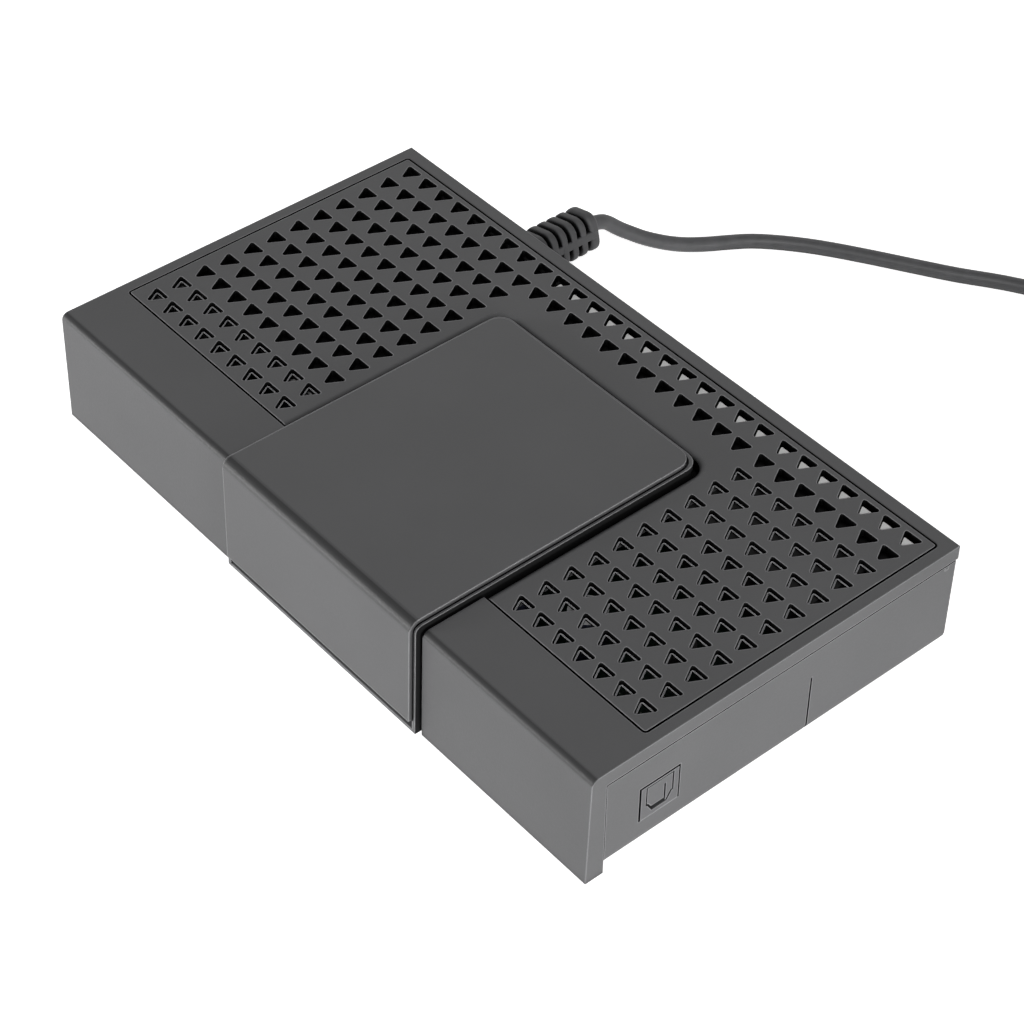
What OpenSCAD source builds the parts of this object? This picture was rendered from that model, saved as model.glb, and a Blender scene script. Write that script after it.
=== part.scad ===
// Compact satellite television receiver with its low-voltage power lead.
// The origin is the point on the table below the middle of the receiver; +Z is up, the front faces -Y.

/* [Body] */
// Width of the housing
body_w = 168; // [150:1:220]
// Depth from the front edge of the top to the rear wall
body_d = 93.4; // [88:0.1:120]
// Height from the front lip to the top face
body_h = 27.3; // [27:0.1:40]
// How far the front face comes forward on its way down
front_lean = 0.8; // [0:0.1:2]
// Clearance between the front lip and the table
lip_gap = 1; // [0.6:0.1:1.6]
// Clearance between the base tray and the table
base_gap = 2; // [1.7:0.1:3]
// Radius of the fold from the top to the front
fold_r = 1.6; // [0.8:0.1:2.4]

/* [Top cover] */
// Wall of the top cover
cover_t = 2; // [1.8:0.1:2.6]
// Wall of the cover's side lips
side_t = 1.8; // [1.4:0.1:2.4]
// Height of the lip round the sides and the back
lip_h = 3.3; // [3.2:0.1:5]
// Depth of the front's return on each side
return_d = 3.5; // [2.5:0.1:4]
// Dark joint between the front's returns and the tray
seam = 0.5; // [0.2:0.05:0.6]
// Dark joint under the side lips
lip_seam = 0.9; // [0.4:0.1:1.2]
// Ledge that carries the vent grille
ledge_w = 1.6; // [1:0.1:2]
// Thickness of that ledge
ledge_t = 1.2; // [0.9:0.1:1.6]
// Radius of the posts that take the case screws
post_r = 2.4; // [2.1:0.1:2.6]

/* [Vent grille] */
// Thickness of the grille plate
grille_t = 1.7; // [1.2:0.1:1.8]
// Width of the plain border at the sides
border_side = 2.6; // [2.4:0.1:4]
// Width of the plain border at the back
border_back = 3; // [2.6:0.1:4.5]
// Depth of the plain band at the front
band_d = 14.7; // [14:0.1:20]
// Groove round the grille
groove = 0.45; // [0.3:0.05:0.6]
// Radius of the grille's corners
field_corner = 1; // [0.5:0.1:2]
// Distance between holes across the width
pitch_x = 5.63; // [5.2:0.01:8]
// Distance between holes front to back
pitch_y = 6.206; // [5:0.01:9]
// Width of a triangular hole
hole_w = 4.25; // [3:0.05:4.6]
// Length of a triangular hole
hole_l = 3.85; // [3:0.05:4.4]
// Radius of a hole's corners
hole_r = 0.4; // [0.2:0.05:0.6]
// Width of the lip at the foot of an uncovered hole
hole_lip = 0.3; // [0.15:0.05:0.35]
// Thickness of that lip
hole_lip_t = 0.45; // [0.3:0.05:0.6]
// Distance from the housing's side to the first column of holes
column_inset = 7.5; // [6:0.1:9]
// Distance from the housing's back to the middle of the first row
row_inset = 6.59; // [6:0.01:8]

/* [Centre trim] */
// How far the trim's middle lies right of the housing's middle
trim_x = 5.5; // [-10:0.1:10]
// Width of the outer trim plate
trim_w = 58.8; // [50:0.1:66]
// Distance from the rear edge of the plate to the rear wall
trim_back = 23.8; // [21:0.1:33]
// How far the plate stands out of the top and the front
trim_out = 1.85; // [1.4:0.05:2.5]
// Thickness of the plate
trim_t = 1.2; // [0.9:0.1:1.2]
// Radius of the plate's rear corners
trim_corner = 3.5; // [1.5:0.1:6]
// Radius of the plate's fold
trim_fold = 2.5; // [1.6:0.1:3.5]
// Height of the plate's lower edge over the front lip
trim_rise = 3.4; // [2:0.1:5]
// Width of the carrier's edge that shows round the plate
carrier_edge = 0.95; // [0.6:0.05:1.3]
// How far that edge lies below the plate's face
carrier_drop = 0.85; // [0.5:0.05:1]
// Gap between the plate and that edge
trim_seam = 0.35; // [0.2:0.05:0.4]
// Height of the carrier's lip under the plate
carrier_foot = 0.7; // [0.5:0.1:1]
// Gap between the carrier and the slot that it stands in
slot_gap = 0.75; // [0.5:0.05:1.2]
// Depth of that slot
slot_d = 3; // [2.9:0.1:4]
// Width of the rolled edge of the grille beside the slot
roll_r = 1.6; // [1.3:0.1:2]

/* [Base tray] */
// Wall of the tray's sides and back
tray_t = 2; // [1.6:0.1:2.4]
// Thickness of the tray's floor
floor_t = 1.8; // [1.5:0.1:2.4]
// How far the tray's sides lie inside the cover's
tray_inset = 0.4; // [0.2:0.1:0.6]
// Radius of the tray's lower edges
tray_r = 2.5; // [1:0.1:3]
// Radius of a rubber foot
foot_r = 5; // [3.5:0.1:5.5]
// Radius of the case screws
screw_r = 1.3; // [1:0.05:1.4]

/* [Board] */
// Distance from the housing's sides to the board
board_side = 11; // [10:0.1:14]
// Thickness of the board
board_t = 1.6; // [1:0.1:2]
// Height of the standoffs under the board
standoff_h = 2.8; // [2:0.1:4]

/* [Sockets] */
// Outer radius of the aerial socket's thread
f_r = 4.76; // [4.7:0.01:4.8]
// How far the aerial socket stands out of the rear wall
f_out = 7.5; // [6.5:0.1:8]
// Distance from the aerial socket to the right side
f_side = 30; // [28:0.5:34]
// Distance from the display socket to the right side
hdmi_side = 70; // [66:0.5:72]
// Distance from the data socket to the right side
usb_side = 96; // [94:0.5:100]
// Distance from the power socket to the left side
dc_side = 33.9; // [28:0.1:40]
// Radius of the power plug's barrel
barrel_r = 2.75; // [2.4:0.05:2.8]
// Width of the optical socket's face
optical_w = 9.2; // [9:0.1:10]
// Distance from the front edge to the middle of the optical socket
optical_y = 17.2; // [16.4:0.1:22]

/* [Power lead] */
// Diameter of the lead
lead_d = 3.5; // [3:0.1:3.8]
// Middle radius of the coil
coil_r = 19.9; // [19:0.1:21]
// Gap between the turns
coil_gap = 0.5; // [0.45:0.05:0.7]
// Width of the plug's grip where it starts
grip_w = 9.9; // [9:0.1:12]
// Length of the plug's grip
grip_l = 22.8; // [20:0.1:24]
// How far the plug is turned in its socket
grip_roll = 14; // [0:1:30]
// Length of the plug-in supply
supply_l = 60; // [50:1:66]
// Width of the plug-in supply
supply_w = 40; // [36:1:46]
// Thickness of the plug-in supply without its pins
supply_h = 24; // [22:0.5:28]
// Radius of a mains pin
pin_r = 2; // [1.9:0.05:2.4]
// Distance between the mains pins
pin_gap = 18.6; // [17:0.1:20]

/* [Hidden] */
$fn = 48;

// Steps in the fold, in a rounded corner and in a hole's corner
fold_steps = 8;
corner_steps = 5;
hole_steps = 2;
// How far a cut runs past the solid that it cuts
over = 1;
// Depth by which joined solids of one piece share material
weld = 0.3;
// Smallest inner radius of a fold
fold_min = 0.2;
// Clearance of a piece that drops into its seat
fit = 0.2;

// Heights
lip_z = lip_gap;
top_z = lip_gap + body_h;
base_z = base_gap;
floor_z = base_z + floor_t;
board_z = floor_z + standoff_h;
deck_z = board_z + board_t;

// Depths, from the foremost edge of the trim to the aerial socket's end
trim_low = lip_z + trim_rise;
front_most = trim_out + front_lean * (top_z - trim_low) / body_h;
front_y = (front_most - body_d - f_out) / 2;
back_y = front_y + body_d;
lean_a = atan(front_lean / body_h);

// The grille's field, the trim's slot and the edges of the trim
field_x = body_w / 2 - border_side;
field_y0 = front_y + band_d;
field_y1 = back_y - border_back;
trim_y1 = back_y - trim_back;
carrier_half = trim_w / 2 + carrier_edge;
carrier_y1 = trim_y1 + carrier_edge;
slot_half = carrier_half + slot_gap;
slot_y1 = carrier_y1 + slot_gap;
slot_corner = trim_corner;
rim_t = 1.2;
shelf_t = 1.5;
sheet_t = 0.4;
shelf_half = slot_half + rim_t + ledge_w;
shelf_y1 = slot_y1 + rim_t + ledge_w;
carrier_t = 1.2;
carrier_out = trim_out - carrier_drop;
seat_out = trim_out - trim_t;
trim_cut = 0.7;
trim_rest = 0.5;
foot_cut = 0.85;

// Columns and rows of holes: the left block, the right block and the rows behind the trim
hole_clear = 3.6;
column_x0 = column_inset - body_w / 2;
block_left = trim_x - slot_half - roll_r - hole_clear;
block_right = trim_x + slot_half + roll_r + hole_clear;
left_n = 1 + floor((block_left - column_x0) / pitch_x);
right_n = 1 + floor((-column_x0 - block_right) / pitch_x);
middle_x0 = column_x0 + left_n * pitch_x;
middle_x1 = -column_x0 - right_n * pitch_x;
middle_n = 1 + floor((middle_x1 - middle_x0) / pitch_x);
row_y0 = back_y - row_inset;
row_n = 1 + floor((row_y0 - field_y0 - groove - hole_l * 0.75) / pitch_y);
across_n = 1 + floor((row_y0 - slot_y1 - roll_r - hole_clear) / pitch_y);

// Tray
tray_x = body_w / 2 - tray_inset;
tray_y0 = front_y + return_d + seam;
tray_top = top_z - lip_h - lip_seam;
tongue_y0 = front_y + cover_t + fit;
notch_y1 = front_y + slot_d + shelf_t + fit;
slit_share = 0.59;
slit_top_share = 0.56;
slit_w = 0.4;
slit_d = 0.6;
foot_sink = 0.3;
foot_share = 0.84;
foot_inset = 13;
post_front = 8;
post_back = 4.8;
post_side = 5.2;
post_front_side = 6.6;
head_r = 2.3;
head_h = 1.4;
pilot_r = screw_r - fit / 2;
vent_n = 9;
vent_w = 2;
vent_pitch = 5;
vent_l_share = 0.24;
vent_x_share = 0.2;

// Board and what stands on it
board_x = body_w / 2 - board_side;
board_front = 8.6;
shield_t = 0.5;
shield_y = back_y - tray_t - fit - shield_t;
board_y0 = front_y + board_front;
board_y1 = shield_y;
tab_inset = 2.2;
tab_half = 5.2;
tab_x = tray_x - tab_inset;
tab_y0 = front_y + optical_y - tab_half;
tab_y1 = front_y + optical_y + tab_half;
board_screw_r = 1.4;
board_screw_side = 5;
board_screw_end = 5;
shield_drop = 3.5;
shield_top = top_z - shield_drop;
flange_past = 0.8;
flange_z = top_z - grille_t - fit;
flange_y0 = row_y0 - hole_l / 2 - flange_past;
flange_y1 = field_y1 - ledge_w - fit;
flange_x1 = field_x - ledge_w - 2 * fit;
shield_right = 13;
shield_left = 111;
shield_x0 = body_w / 2 - shield_left;
shield_x1 = body_w / 2 - shield_right;
f_x = body_w / 2 - f_side;
can_gap = 2.1;
can_h = shield_top - shield_t - can_gap - deck_z;
f_rise = 3.8;
f_z = deck_z + f_rise;
f_bore = 2.9;
f_collar = 1;
f_inner = 3.4;
can_w = 38;
can_d = 27;
can_vent_r = 2;
hdmi_x = body_w / 2 - hdmi_side;
hdmi_w = 15;
hdmi_h = 5.8;
hdmi_wall = 0.5;
hdmi_l = 12;
hdmi_slope = 1.4;
usb_x = body_w / 2 - usb_side;
usb_w = 14;
usb_h = 6.6;
usb_wall = 0.6;
usb_l = 14;
socket_gap = 0.5;
socket_sink = 0.2;
dc_x = dc_side - body_w / 2;
dc_rise = 6.5;
dc_z = deck_z + dc_rise;
dc_w = 9;
dc_h = 11;
dc_l = 14;
barrel_gap = 0.35;
dc_bore = barrel_r + barrel_gap;
dc_snout = 3.7;
dc_out = 0.4;
dc_depth = 10.5;
jack_pin_r = 0.98;

// Optical socket: a square block whose opening has a flat top and a tapered foot
optical_x = tray_x;
optical_l = 12.5;
optical_side = 1.2;
optical_roof = 0.35;
optical_sill = 1.1;
optical_foot = 2.05;
optical_h = 8.5;
optical_z1 = deck_z + optical_h;
optical_open_w = optical_w - 2 * optical_side;
optical_top = optical_z1 - optical_roof;
optical_low = deck_z + optical_sill;
optical_knee = optical_low + optical_foot;
optical_foot_w = 3.7;
optical_depth = 9.4;
optical_mid = front_y + optical_y;
optical_mid_z = (optical_top + optical_low) / 2;
optical_step = 0.35;
optical_seam = 0.5;
optical_seam_back = 0.3;
flap_t = 0.6;
flap_sink = 0.05;
flap_gap = 0.3;
flap_rise = 1.2;
flap_slot = 0.4;
flap_slot_share = 0.66;
flap_slot_top_share = 0.72;
hinge_r = 0.45;
hinge_gap = 0.05;
hinge_drop = 0.65;
flap_x = optical_x - flap_sink;
hinge_behind = 0.1;
hinge_x = flap_x - flap_t - hinge_behind;
hinge_z = optical_top - hinge_drop;
hinge_stub = 0.7;
emitter_r = 1.9;
emitter_l = 2;

// Front board behind the trim
front_board_w = 44;
front_board_h = 13.4;
front_board_t = 1.2;
front_board_set = 0.6;
front_board_y = board_y0 + front_board_set;
display_w = 30;
display_h = 10;
display_d = 2.1;
display_shift = 2.5;
display_x = trim_x - display_shift;
window_w = 40;
window_h = 11.4;
window_z0 = deck_z + over;
window_z1 = window_z0 + window_h;
window_mid = (window_z0 + window_z1) / 2;
eye_w = 4;
eye_h = 6;
eye_d = 1;
eye_r = 1.6;
eye_x = trim_x + window_w / 2 - eye_w;
led_r = 1;
led_x = display_x - display_w / 2 - led_r * 2;
header_t = 2.5;

// Chips, heat sink and other parts on the board, placed by shares of its half width and its depth
chip_w = 23;
chip_h = 1.6;
chip_share = [0.12, 0.45];
sink_w = 30;
sink_base = 2;
sink_h = 8;
fin_n = 8;
fin_t = 1.2;
memory_shares = [[-0.22, 0.3], [-0.22, 0.58]];
memory_w = 10;
memory_l = 14;
memory_h = 1.2;
capacitor_shares = [[-0.86, 0.52], [-0.72, 0.36], [-0.56, 0.26], [-0.5, 0.62], [0.44, 0.2], [0.62, 0.3]];
capacitor_r = 4;
capacitor_h = 11.5;
capacitor_groove = 0.3;
choke_shares = [[-0.86, 0.22], [-0.4, 0.42], [0.8, 0.45]];
choke_w = 7;
choke_h = 4.4;
choke_base = 0.6;

// Plug, lead, coil and supply
grip_tip_share = 0.94;
grip_corner_share = 0.3;
grip_y0 = back_y + dc_out;
tip_land = 2.4;
rib_n = 6;
rib_pitch = 2.75;
slot_w = 1.4;
slot_depth_share = 0.32;
spine_share = 0.2;
barrel_l = 9.5;
barrel_bore = 1.25;
lead_r = lead_d / 2;
lead_sides = 8;
plug_tip = [dc_x, grip_y0 + grip_l, dc_z];
coil_at = [94, 127.5];
coil_pitch = lead_d + coil_gap;
layer_n = 4;
layer_turns = 2.53125;
ring_n = 24;
coil_sides = 6;
coil_start_a = 110;
tie_t = 0.7;
tie_gap = 0.4;
tie_w = 6;
tie_slack = 0.15;
coil_z = lead_r + tie_slack + tie_t;
coil_in = coil_r - coil_pitch * layer_turns / 2;
coil_turns = layer_n * layer_turns;
coil_n = round(coil_turns * ring_n);

// Radius and height of the coil's centre line after t turns: it spirals in and out at a steady rate
// and climbs one layer in the half turn round each place where it turns back
function coil_radius(t) = let (u = t / layer_turns, k = floor(u), f = u - k)
    coil_in + coil_pitch * layer_turns * (k % 2 == 0 ? 1 - f : f);
function climb(t, k) = let (f = min(1, max(0, (t - k * layer_turns) * 2 + 0.5))) f * f * (3 - 2 * f);
function coil_height(t) = coil_z + coil_pitch * (climb(t, 1) + climb(t, 2) + climb(t, 3));
function coil_point(t) = let (a = coil_start_a - 360 * t, r = coil_radius(t))
    [coil_at[0] + r * cos(a), coil_at[1] + r * sin(a), coil_height(t)];
function unit(v) = v / norm(v);
coil_step = 1 / (ring_n * 8);
start_dir = unit(coil_point(coil_step) - coil_point(0));
end_dir = unit(coil_point(coil_turns) - coil_point(coil_turns - coil_step));
coil_line = concat([coil_point(0) - start_dir * lead_d],
    [for (i = [0:coil_n]) coil_point(coil_turns * i / coil_n)],
    [coil_point(coil_turns) + end_dir * lead_d]);
coil_first = coil_line[0];
coil_last = coil_line[len(coil_line) - 1];

// Route of the lead from the plug over the table to the coil
lead_drop = [[0, 0, 0], [0, 2, 0], [0.1, 3.9, -0.4], [0.2, 5.4, -1.2], [0.5, 6.7, -2.4], [1, 7.9, -3.8],
    [1.7, 9.4, -5.1], [2.5, 11, -6.2], [3.7, 13.5, -7.8], [5.2, 16.9, -9.5], [6.7, 20.4, -10.9],
    [8.3, 23.9, -11.9], [10.4, 28.4, -12.7]];
lead_route = concat([for (p = lead_drop) plug_tip + p],
    [[-37.2, 100.3, 1.8], [-34, 104.9, 1.8], [-29, 109.9, 1.8], [-22.5, 115.1, 1.8], [-14, 120.7, 1.8],
    [-4.6, 126.4, 1.8], [5, 132.3, 1.8], [14.2, 138.7, 1.8], [24, 144.1, 1.8], [35, 147.7, 1.8],
    [47, 149.2, 1.85], [59, 149.1, 1.9], [68, 148.8, 2.1], [74, 148.9, 2.4]],
    [coil_first - start_dir * lead_d, coil_first]);

// Supply, with its relief towards the coil
supply_x = 147;
relief_y1 = 117.5;
relief_l = 16;
relief_r0 = 3.9;
relief_r1 = 2.7;
relief_z = 12;
relief_ribs = 5;
supply_y1 = relief_y1 - relief_l;
supply_mid = supply_y1 - supply_l / 2;
supply_corner = 5;
supply_r = 2.5;
supply_split = 5;
plateau_w = 35;
plateau_l = 13.6;
plateau_h = 6;
pin_l = 19;
sleeve_l = 10;
sleeve_step = 0.2;
sleeve_depth = 0.6;
sleeve_r = pin_r - sleeve_step;
sleeve_core = pin_r - sleeve_depth;
tail_route = [coil_last, coil_last + end_dir * lead_d, [120, 142.7, 14.4], [129.5, 138.3, 13.9],
    [138.6, 133.7, 13.1], [142.9, 130.8, 12.7], [145.6, 126.8, 12.3],
    [supply_x, relief_y1 + lead_d, relief_z], [supply_x, relief_y1, relief_z]];

// Outlines
function arc(c, r, a0, a1, n) =
    [for (i = [0:n]) c + r * [cos(a0 + (a1 - a0) * i / n), sin(a0 + (a1 - a0) * i / n)]];
function reversed(v) = [for (i = [len(v) - 1:-1:0]) v[i]];
function rounded_rect(w, l, r) = concat(
    arc([w / 2 - r, l / 2 - r], r, 0, 90, corner_steps),
    arc([r - w / 2, l / 2 - r], r, 90, 180, corner_steps),
    arc([r - w / 2, r - l / 2], r, 180, 270, corner_steps),
    arc([w / 2 - r, r - l / 2], r, 270, 360, corner_steps));

// A triangle with its flat side to the back and its point to the front
function hole_outline() = let (
    h = hole_w / 2 - hole_r, v = hole_l / 2 - hole_r, a = atan(h / (2 * v)))
    concat(arc([h, v], hole_r, -a, 90, hole_steps),
        arc([-h, v], hole_r, 90, 180 + a, hole_steps),
        arc([0, -v], hole_r, 180 + a, 360 - a, hole_steps));

// The same triangle drawn in by the width of the lip, with sharp corners
function lip_outline() = let (
    h = hole_w / 2 - hole_r, v = hole_l / 2 - hole_r, a = atan(h / (2 * v)), q = hole_r - hole_lip,
    e = q / tan((90 - a) / 2))
    [[h + e, v + q], [-h - e, v + q], [0, -v - q / sin(a)]];

// A strip that stands open at the front and has round rear corners
function tongue(half, y1, r) = concat([[-half, front_y - body_h], [half, front_y - body_h]],
    arc([half - r, y1 - r], r, 0, 90, corner_steps), arc([r - half, y1 - r], r, 90, 180, corner_steps));

// The path over the top and down the leaning front, at a distance out from the housing's faces
function front_at(z, out) = front_y - out - front_lean * (top_z - z) / body_h;
function fold_path(out, r, y1, z0) = let (
    zc = top_z + out - r, yc = front_at(zc, out) + r / cos(lean_a))
    concat([[y1, top_z + out]], arc([yc, zc], r, 90, 180 - lean_a, fold_steps), [[front_at(z0, out), z0]]);

module along_x(x0, x1, points) translate([x0, 0, 0]) rotate([90, 0, 90]) linear_extrude(x1 - x0)
    polygon(points);
module along_y(y0, y1, points) translate([0, y1, 0]) rotate([90, 0, 0]) linear_extrude(y1 - y0)
    polygon(points);
module slab(low, high) translate(low) cube(high - low);
module up(z0, z1) translate([0, 0, z0]) linear_extrude(z1 - z0) children();
module rod_y(x, z, r, y0, y1) translate([x, y1, z]) rotate([90, 0, 0]) cylinder(r = r, h = y1 - y0);
module rod_x(y, z, r, x0, x1) translate([x0, y, z]) rotate([0, 90, 0]) cylinder(r = r, h = x1 - x0);
module rod_z(x, y, r, z0, z1) translate([x, y, z0]) cylinder(r = r, h = z1 - z0);

// A wall of thickness t that follows the fold, from x0 to x1
module folded(x0, x1, out, t, r, y1, z0) along_x(x0, x1,
    concat(fold_path(out, r, y1, z0), reversed(fold_path(out - t, max(fold_min, r - t), y1, z0))));

module field_2d(inset) translate([0, (field_y0 + field_y1) / 2]) polygon(rounded_rect(
    2 * (field_x - inset), field_y1 - field_y0 - 2 * inset, max(fold_min, field_corner - inset)));
module tongue_2d(half, y1, r) translate([trim_x, 0]) polygon(tongue(half, y1, r));

// Top cover: plain band, borders, side lips and leaning front, with the slot for the trim
module top_cover() color("#55555a") {
    z_ledge = top_z - grille_t - ledge_t;
    difference() {
        union() {
            folded(-body_w / 2, body_w / 2, 0, cover_t, fold_r, back_y, lip_z);
            slab([-body_w / 2, back_y - cover_t, top_z - lip_h], [body_w / 2, back_y, top_z]);
            for (x = [-body_w / 2, body_w / 2 - side_t]) along_x(x, x + side_t, concat(
                fold_path(0, fold_r, back_y, lip_z),
                [[front_y + return_d, lip_z], [front_y + return_d, top_z - lip_h], [back_y, top_z - lip_h]]));
            up(z_ledge, top_z - grille_t) difference() {
                field_2d(-weld * 2);
                field_2d(ledge_w);
            }
        }
        up(top_z - grille_t, top_z + over) field_2d(0);
        up(z_ledge - over, top_z) field_2d(ledge_w);
        up(z_ledge - over, top_z) intersection() {
            field_2d(groove - fit);
            tongue_2d(slot_half + rim_t + fit, slot_y1, slot_corner);
        }
        up(0, top_z + over) tongue_2d(slot_half, slot_y1, slot_corner);
    }
    difference() {
        folded(trim_x - shelf_half, trim_x + shelf_half, -slot_d, shelf_t, fold_min, shelf_y1, lip_z);
        slab([trim_x - window_w / 2, front_y - over, window_z0],
            [trim_x + window_w / 2, front_y + body_h, window_z1]);
    }
    for (x = [trim_x - slot_half - rim_t, trim_x + slot_half])
        folded(x, x + rim_t, 0, slot_d + shelf_t, fold_r, field_y0, lip_z);
    for (s = [-1, 1]) {
        post(s * (body_w / 2 - post_front_side), front_y + post_front, top_z - grille_t);
        post(s * (body_w / 2 - post_side), back_y - post_back, z_ledge + weld);
    }
}

module post(x, y, top) difference() {
    rod_z(x, y, post_r, floor_z + fit, top);
    rod_z(x, y, pilot_r, floor_z, tray_top);
}

// Vent grille: a plate with rows of triangular holes, rolled down along the trim's slot
module vent_grille() color("#58585d") {
    edge = slot_half + roll_r;
    y_edge = slot_y1 + roll_r;
    difference() {
        up(top_z - grille_t, top_z) difference() {
            field_2d(groove);
            tongue_2d(edge, y_edge, slot_corner + roll_r);
        }
        up(top_z - grille_t - over, top_z + over) {
            for (j = [0:row_n - 3], i = [0:left_n - 1])
                hole(column_x0 + i * pitch_x, j) polygon(hole_outline());
            for (j = [0, 1], i = [0:right_n - 1])
                hole(-column_x0 - i * pitch_x, j) polygon(hole_outline());
            for (j = [0:across_n - 1], i = [0:middle_n - 1])
                hole(middle_x0 + i * pitch_x, j) polygon(hole_outline());
        }
        up(top_z - grille_t + hole_lip_t, top_z + over) lipped() polygon(hole_outline());
        up(top_z - grille_t - over, top_z) lipped() polygon(lip_outline());
    }
    y0 = field_y0 + groove;
    c = slot_half - slot_corner;
    for (s = [-1, 1]) translate([trim_x + s * c, 0, 0]) {
        mirror([s < 0 ? 1 : 0, 0, 0]) along_y(y0, slot_y1 - slot_corner, rim_section());
        translate([0, slot_y1 - slot_corner, 0]) rotate([0, 0, s < 0 ? 90 : 0])
            rotate_extrude(angle = 90) polygon(rim_section());
    }
    translate([trim_x, slot_y1 - slot_corner, 0]) rotate([0, 0, 90]) along_y(-c, c, rim_section());
}

// Section of the rolled rim, measured from the centre of the slot's corner
function rim_section() = let (x = slot_corner, z = top_z) concat(
    [[x, z - slot_d], [x + rim_t, z - slot_d], [x + rim_t, z - grille_t], [x + roll_r + weld, z - grille_t],
    [x + roll_r + weld, z]], arc([x + roll_r, z - roll_r], roll_r, 90, 180, fold_steps));

module hole(x, j) translate([x, row_y0 - j * pitch_y]) children();

// The holes that are not covered from below
module lipped() {
    for (j = [row_n - 2, row_n - 1], i = [0:left_n - 1]) hole(column_x0 + i * pitch_x, j) children();
    for (j = [2:row_n - 1], i = [0:right_n - 1]) hole(-column_x0 - i * pitch_x, j) children();
}

// Carrier of the trim: a folded tray with a rim, open behind the receiver's display window. A groove
// under the plate's edge keeps the plate clear of the rim, and another one leaves a lip at the foot.
module trim_carrier() color("#4c4c50") difference() {
    carrier_part(carrier_half, carrier_y1, trim_corner, carrier_out, carrier_out + slot_d,
        trim_fold - carrier_drop, lip_z + fit);
    carrier_part(carrier_half - carrier_t, carrier_y1 - carrier_t, trim_corner - carrier_t,
        seat_out - carrier_t, slot_d + over + seat_out, fold_min, lip_z + fit + carrier_t);
    carrier_part(trim_w / 2 + trim_seam, trim_y1 + trim_seam, trim_corner, trim_out, trim_t,
        trim_fold, trim_low - fit);
    difference() {
        carrier_part(trim_w / 2 + trim_seam, trim_y1 + trim_seam, trim_corner, trim_out, trim_t + trim_cut,
            trim_fold, trim_low - fit);
        up(0, top_z + body_h) tongue_2d(trim_w / 2 - trim_rest, trim_y1 - trim_rest, trim_corner - trim_rest);
    }
    slab([trim_x - trim_w / 2, front_y - body_h, lip_z + fit + carrier_foot],
        [trim_x + trim_w / 2, front_at(trim_low, seat_out - foot_cut), trim_low]);
    slab([trim_x - window_w / 2, front_y - body_h, window_z0],
        [trim_x + window_w / 2, front_y + body_h, window_z1]);
}

// A folded wall with round rear corners
module carrier_part(half, y1, corner, out, t, r, z0) intersection() {
    folded(trim_x - half, trim_x + half, out, t, r, y1, z0);
    up(0, top_z + body_h) tongue_2d(half, y1, corner);
}

// Outer trim plate, folded from the top over the front
module trim_plate() color("#505054")
    carrier_part(trim_w / 2, trim_y1, trim_corner, trim_out, trim_t, trim_fold, trim_low);

// Base tray: rounded sides and back with the socket cut-outs, bosses, standoffs and floor vents
module base_tray() color("#4a4a4e") {
    difference() {
        intersection() {
            along_y(tray_y0, back_y, concat([[tray_x, tray_top]],
                arc([tray_x - tray_r, base_z + tray_r], tray_r, 0, -90, corner_steps),
                arc([tray_r - tray_x, base_z + tray_r], tray_r, -90, -180, corner_steps),
                [[-tray_x, tray_top]]));
            along_x(-tray_x, tray_x, concat([[tray_y0, tray_top], [tray_y0, base_z]],
                arc([back_y - tray_r, base_z + tray_r], tray_r, -90, 0, corner_steps),
                [[back_y, tray_top]]));
        }
        slab([tray_t - tray_x, tray_y0 - over, floor_z], [tray_x - tray_t, back_y - tray_t, top_z]);
        slab([-body_w, back_y - tray_t - over, tray_top - over], [body_w, back_y - tray_t, top_z]);
        rear_cuts();
        vents();
        for (p = foot_places()) rod_z(p[0], p[1], foot_r + fit, 0, base_z + foot_sink);
        slab([optical_x - optical_l, optical_mid - optical_w / 2 - optical_seam, deck_z],
            [tray_x + over, optical_mid + optical_w / 2 + optical_seam_back, optical_z1 + optical_seam]);
        for (x = [-tray_x - over, tray_x - slit_d]) slab([x, front_y + body_d * slit_share, 0],
            [x + slit_d + over, front_y + body_d * slit_share + slit_w, base_z + body_h * slit_top_share]);
        slab([trim_x - shelf_half - fit, tray_y0 - over, 0], [trim_x + shelf_half + fit, notch_y1, top_z]);
        screw_holes();
    }
    difference() {
        slab([tray_t + fit - tray_x, tongue_y0, base_z], [tray_x - tray_t - fit, tray_y0 + weld, floor_z]);
        slab([trim_x - shelf_half - fit, tongue_y0 - over, 0], [trim_x + shelf_half + fit, notch_y1, top_z]);
        screw_holes();
    }
    for (p = board_screw_places()) difference() {
        rod_z(p[0], p[1], post_r, floor_z - weld, board_z);
        rod_z(p[0], p[1], board_screw_r - fit / 2, floor_z - weld - over, board_z + over);
    }
}

function screw_places() = [for (s = [-1, 1]) each [
    [s * (body_w / 2 - post_front_side), front_y + post_front],
    [s * (body_w / 2 - post_side), back_y - post_back]]];
function board_screw_places() = [for (x = [board_screw_side - board_x, board_x - board_screw_side],
    y = [board_y0 + board_screw_end, board_y1 - board_screw_end - can_d]) [x, y]];
function foot_places() = [for (x = [-1, 1] * foot_share * body_w / 2,
    y = [front_y + foot_inset, back_y - foot_inset]) [x, y]];

module screw_holes() for (p = screw_places()) {
    rod_z(p[0], p[1], screw_r + fit, base_z - over, floor_z + over);
    rod_z(p[0], p[1], head_r + fit, base_z - over, base_z + head_h / 2);
}

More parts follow.
